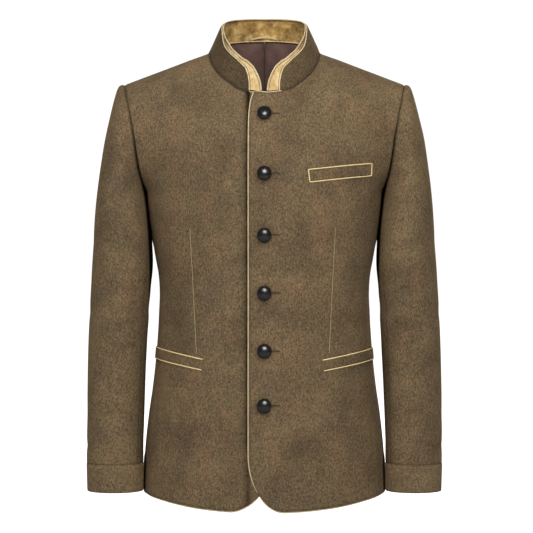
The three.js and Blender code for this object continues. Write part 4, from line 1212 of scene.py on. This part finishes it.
for name, side in sides:
    front = panels[name + "_front"]
    dart = bodySizes["dart"]
    line = [onPanel(front, side * mix(*dart[name], t), mix(dart["top"], dart["bottom"], t),
                    0.3 * smooth(t, 0, 0.05))[0] for t in np.linspace(0, 1, 70)]
    cordPiece(name + "_dart_edge", [line], pipingSizes["dart"], paleThread)

    edge = stitchSizes["edge"]
    inset = walk(cutEdge(name, edge["inset"], 0), edge["step"])
    stitchLines(name + "_front_topstitch", front, [inset], edge, darkThread)

    (x1, z1), (x2, z2) = bodySizes["sideSeam"]
    seam = []
    for t in np.linspace(0, 1, 60):
        x, z = np.array(mix(x1, x2, t)), np.array(mix(z1, z2, t))
        seam.append(torso(angleOf(x, z), z) * np.array([side, 1, 1]))
    stitchLines(name + "_side_stitch", front, [seam], stitchSizes["side"], brownThread)

    cuff = stitchSizes["cuff"]
    t = 1 + (bicepsZ - cuff["z"]) / (bicepsZ - cuffBottomZ)
    angles = np.linspace(-90, 270, 200)
    ring = sleevePlace(angles, np.full_like(angles, t), sleeveSizes["cuffProud"]) * np.array([side, 1, 1])
    stitchLines(name + "_cuff_topstitch", panels[name + "_cuff"], [ring], cuff, paleThread)

facing, facingPanel, ditch = stitchSizes["facing"], panels["collar_facing"], stitchSizes["ditch"]
topLine = rimLine(facingPanel, facing["inset"], 0, 2)
stitchLines("facing_topstitch", facingPanel, [topLine], facing, darkThread)
ditchLine = rimLine(panels["collar"], ditch["inset"], 0, 2)
ditchLine = ditchLine[ditchLine[:, 1] < ditch["behind"]]
middle = len(ditchLine) // 2
ditchLines = [ditchLine[:middle], ditchLine[middle:]]
stitchLines("facing_seam_shadow", facingPanel, ditchLines, ditch, darkThread)
backSeam = [[0, 80, z] for z in np.linspace(-215, 18, 60)]
stitchLines("lining_back_seam", panels["back_lining"], [backSeam], stitchSizes["lining"], darkThread)
# A dull brown cord in the groove of each neck seam stands in for the shadow there.
neckAngles = np.linspace(16, 97, 80)
for name, side in sides:
    neckSeam = collarPlace(neckAngles * side % 360, np.full_like(neckAngles, -0.4), 1.3)
    cordPiece(name + "_neck_seam_painted_shadow", [neckSeam], 0.95, neckSeamShadowMaterial)
loopEnds = []
for side in (-1, 1):
    tacks = [np.array([side * 22.5, 64, z]) for z in (27, 29.6, 32)]
    loopEnds.append(rowOf([nearPanel(panels["hanger_loop"], place, 0.2) for place in tacks]))
stitchPiece("loop_bar_tacks", loopEnds, {"length": 3.2, "radius": 0.8}, darkThread)
print("sewing made")

# Camera, floor and light
cameraSizes = {"place": (0.0035, -3.0, -0.3565), "mmPerPixel": 1.67, "frame": 533}
camera = bpy.data.objects.new("camera", bpy.data.cameras.new("camera"))
camera.location = cameraSizes["place"]
camera.rotation_euler = (math.radians(90), 0, 0)
camera.data.sensor_fit = "HORIZONTAL"
camera.data.sensor_width = 36
camera.data.lens = 36 * -cameraSizes["place"][1] / (cameraSizes["frame"] * cameraSizes["mmPerPixel"] * mm)
bpy.context.scene.collection.objects.link(camera)
bpy.context.scene.camera = camera

floorMaterial, tree = newMaterial("white painted floor")
seen = addNode(tree, "ShaderNodeLightPath").outputs["Is Camera Ray"]
glow = addNode(tree, "ShaderNodeMapRange", {"Value": seen, "To Max": 1.1}).outputs[0]
finish(tree, {
    "Base Color": (0.5, 0.5, 0.5, 1), "Roughness": 0.9, "Emission Color": (1, 1, 1, 1),
    "Emission Strength": glow,
})
bm = bmesh.new()
bmesh.ops.create_grid(bm, x_segments=1, y_segments=1, size=12)
bmesh.ops.translate(bm, verts=bm.verts[:], vec=(0, 0, -0.82))
floorMesh = bpy.data.meshes.new("floor")
bm.to_mesh(floorMesh)
bm.free()
floorMesh.materials.append(floorMaterial)
floor = bpy.data.objects.new("floor", floorMesh)
bpy.context.scene.collection.objects.link(floor)

lamps = {
    "key": {"place": (0.12, -2.1, 0.72), "size": 0.9, "watts": 34, "gloss": True},
    "fill": {"place": (-1.5, -2.3, 0.2), "size": 1.2, "watts": 8, "gloss": False},
    "top": {"place": (0.0, -0.7, 1.9), "size": 1.4, "watts": 14, "gloss": False},
    "back": {"place": (0.6, 2.6, 0.6), "size": 1.6, "watts": 40, "gloss": True},
}
for name, lamp in lamps.items():
    light = bpy.data.lights.new(name, "AREA")
    light.shape, light.size, light.energy = "SQUARE", lamp["size"], lamp["watts"]
    lightObject = bpy.data.objects.new(name, light)
    lightObject.location = lamp["place"]
    lightObject.visible_glossy = lamp["gloss"]
    aim = Vector((0, 0, -0.36)) - Vector(lamp["place"])
    lightObject.rotation_euler = aim.to_track_quat("-Z", "Y").to_euler()
    bpy.context.scene.collection.objects.link(lightObject)

world = bpy.data.worlds.new("studio")
bpy.context.scene.world = world
world.use_nodes = True
tree = world.node_tree
tree.nodes.clear()
seen = addNode(tree, "ShaderNodeLightPath").outputs["Is Camera Ray"]
glow = addNode(tree, "ShaderNodeMapRange", {"Value": seen, "To Min": 0.2, "To Max": 1.05}).outputs[0]
air = addNode(tree, "ShaderNodeBackground", {"Color": (1, 1, 1, 1), "Strength": glow})
addNode(tree, "ShaderNodeOutputWorld", {"Surface": air.outputs[0]})
bpy.context.scene.view_settings.view_transform = "Standard"
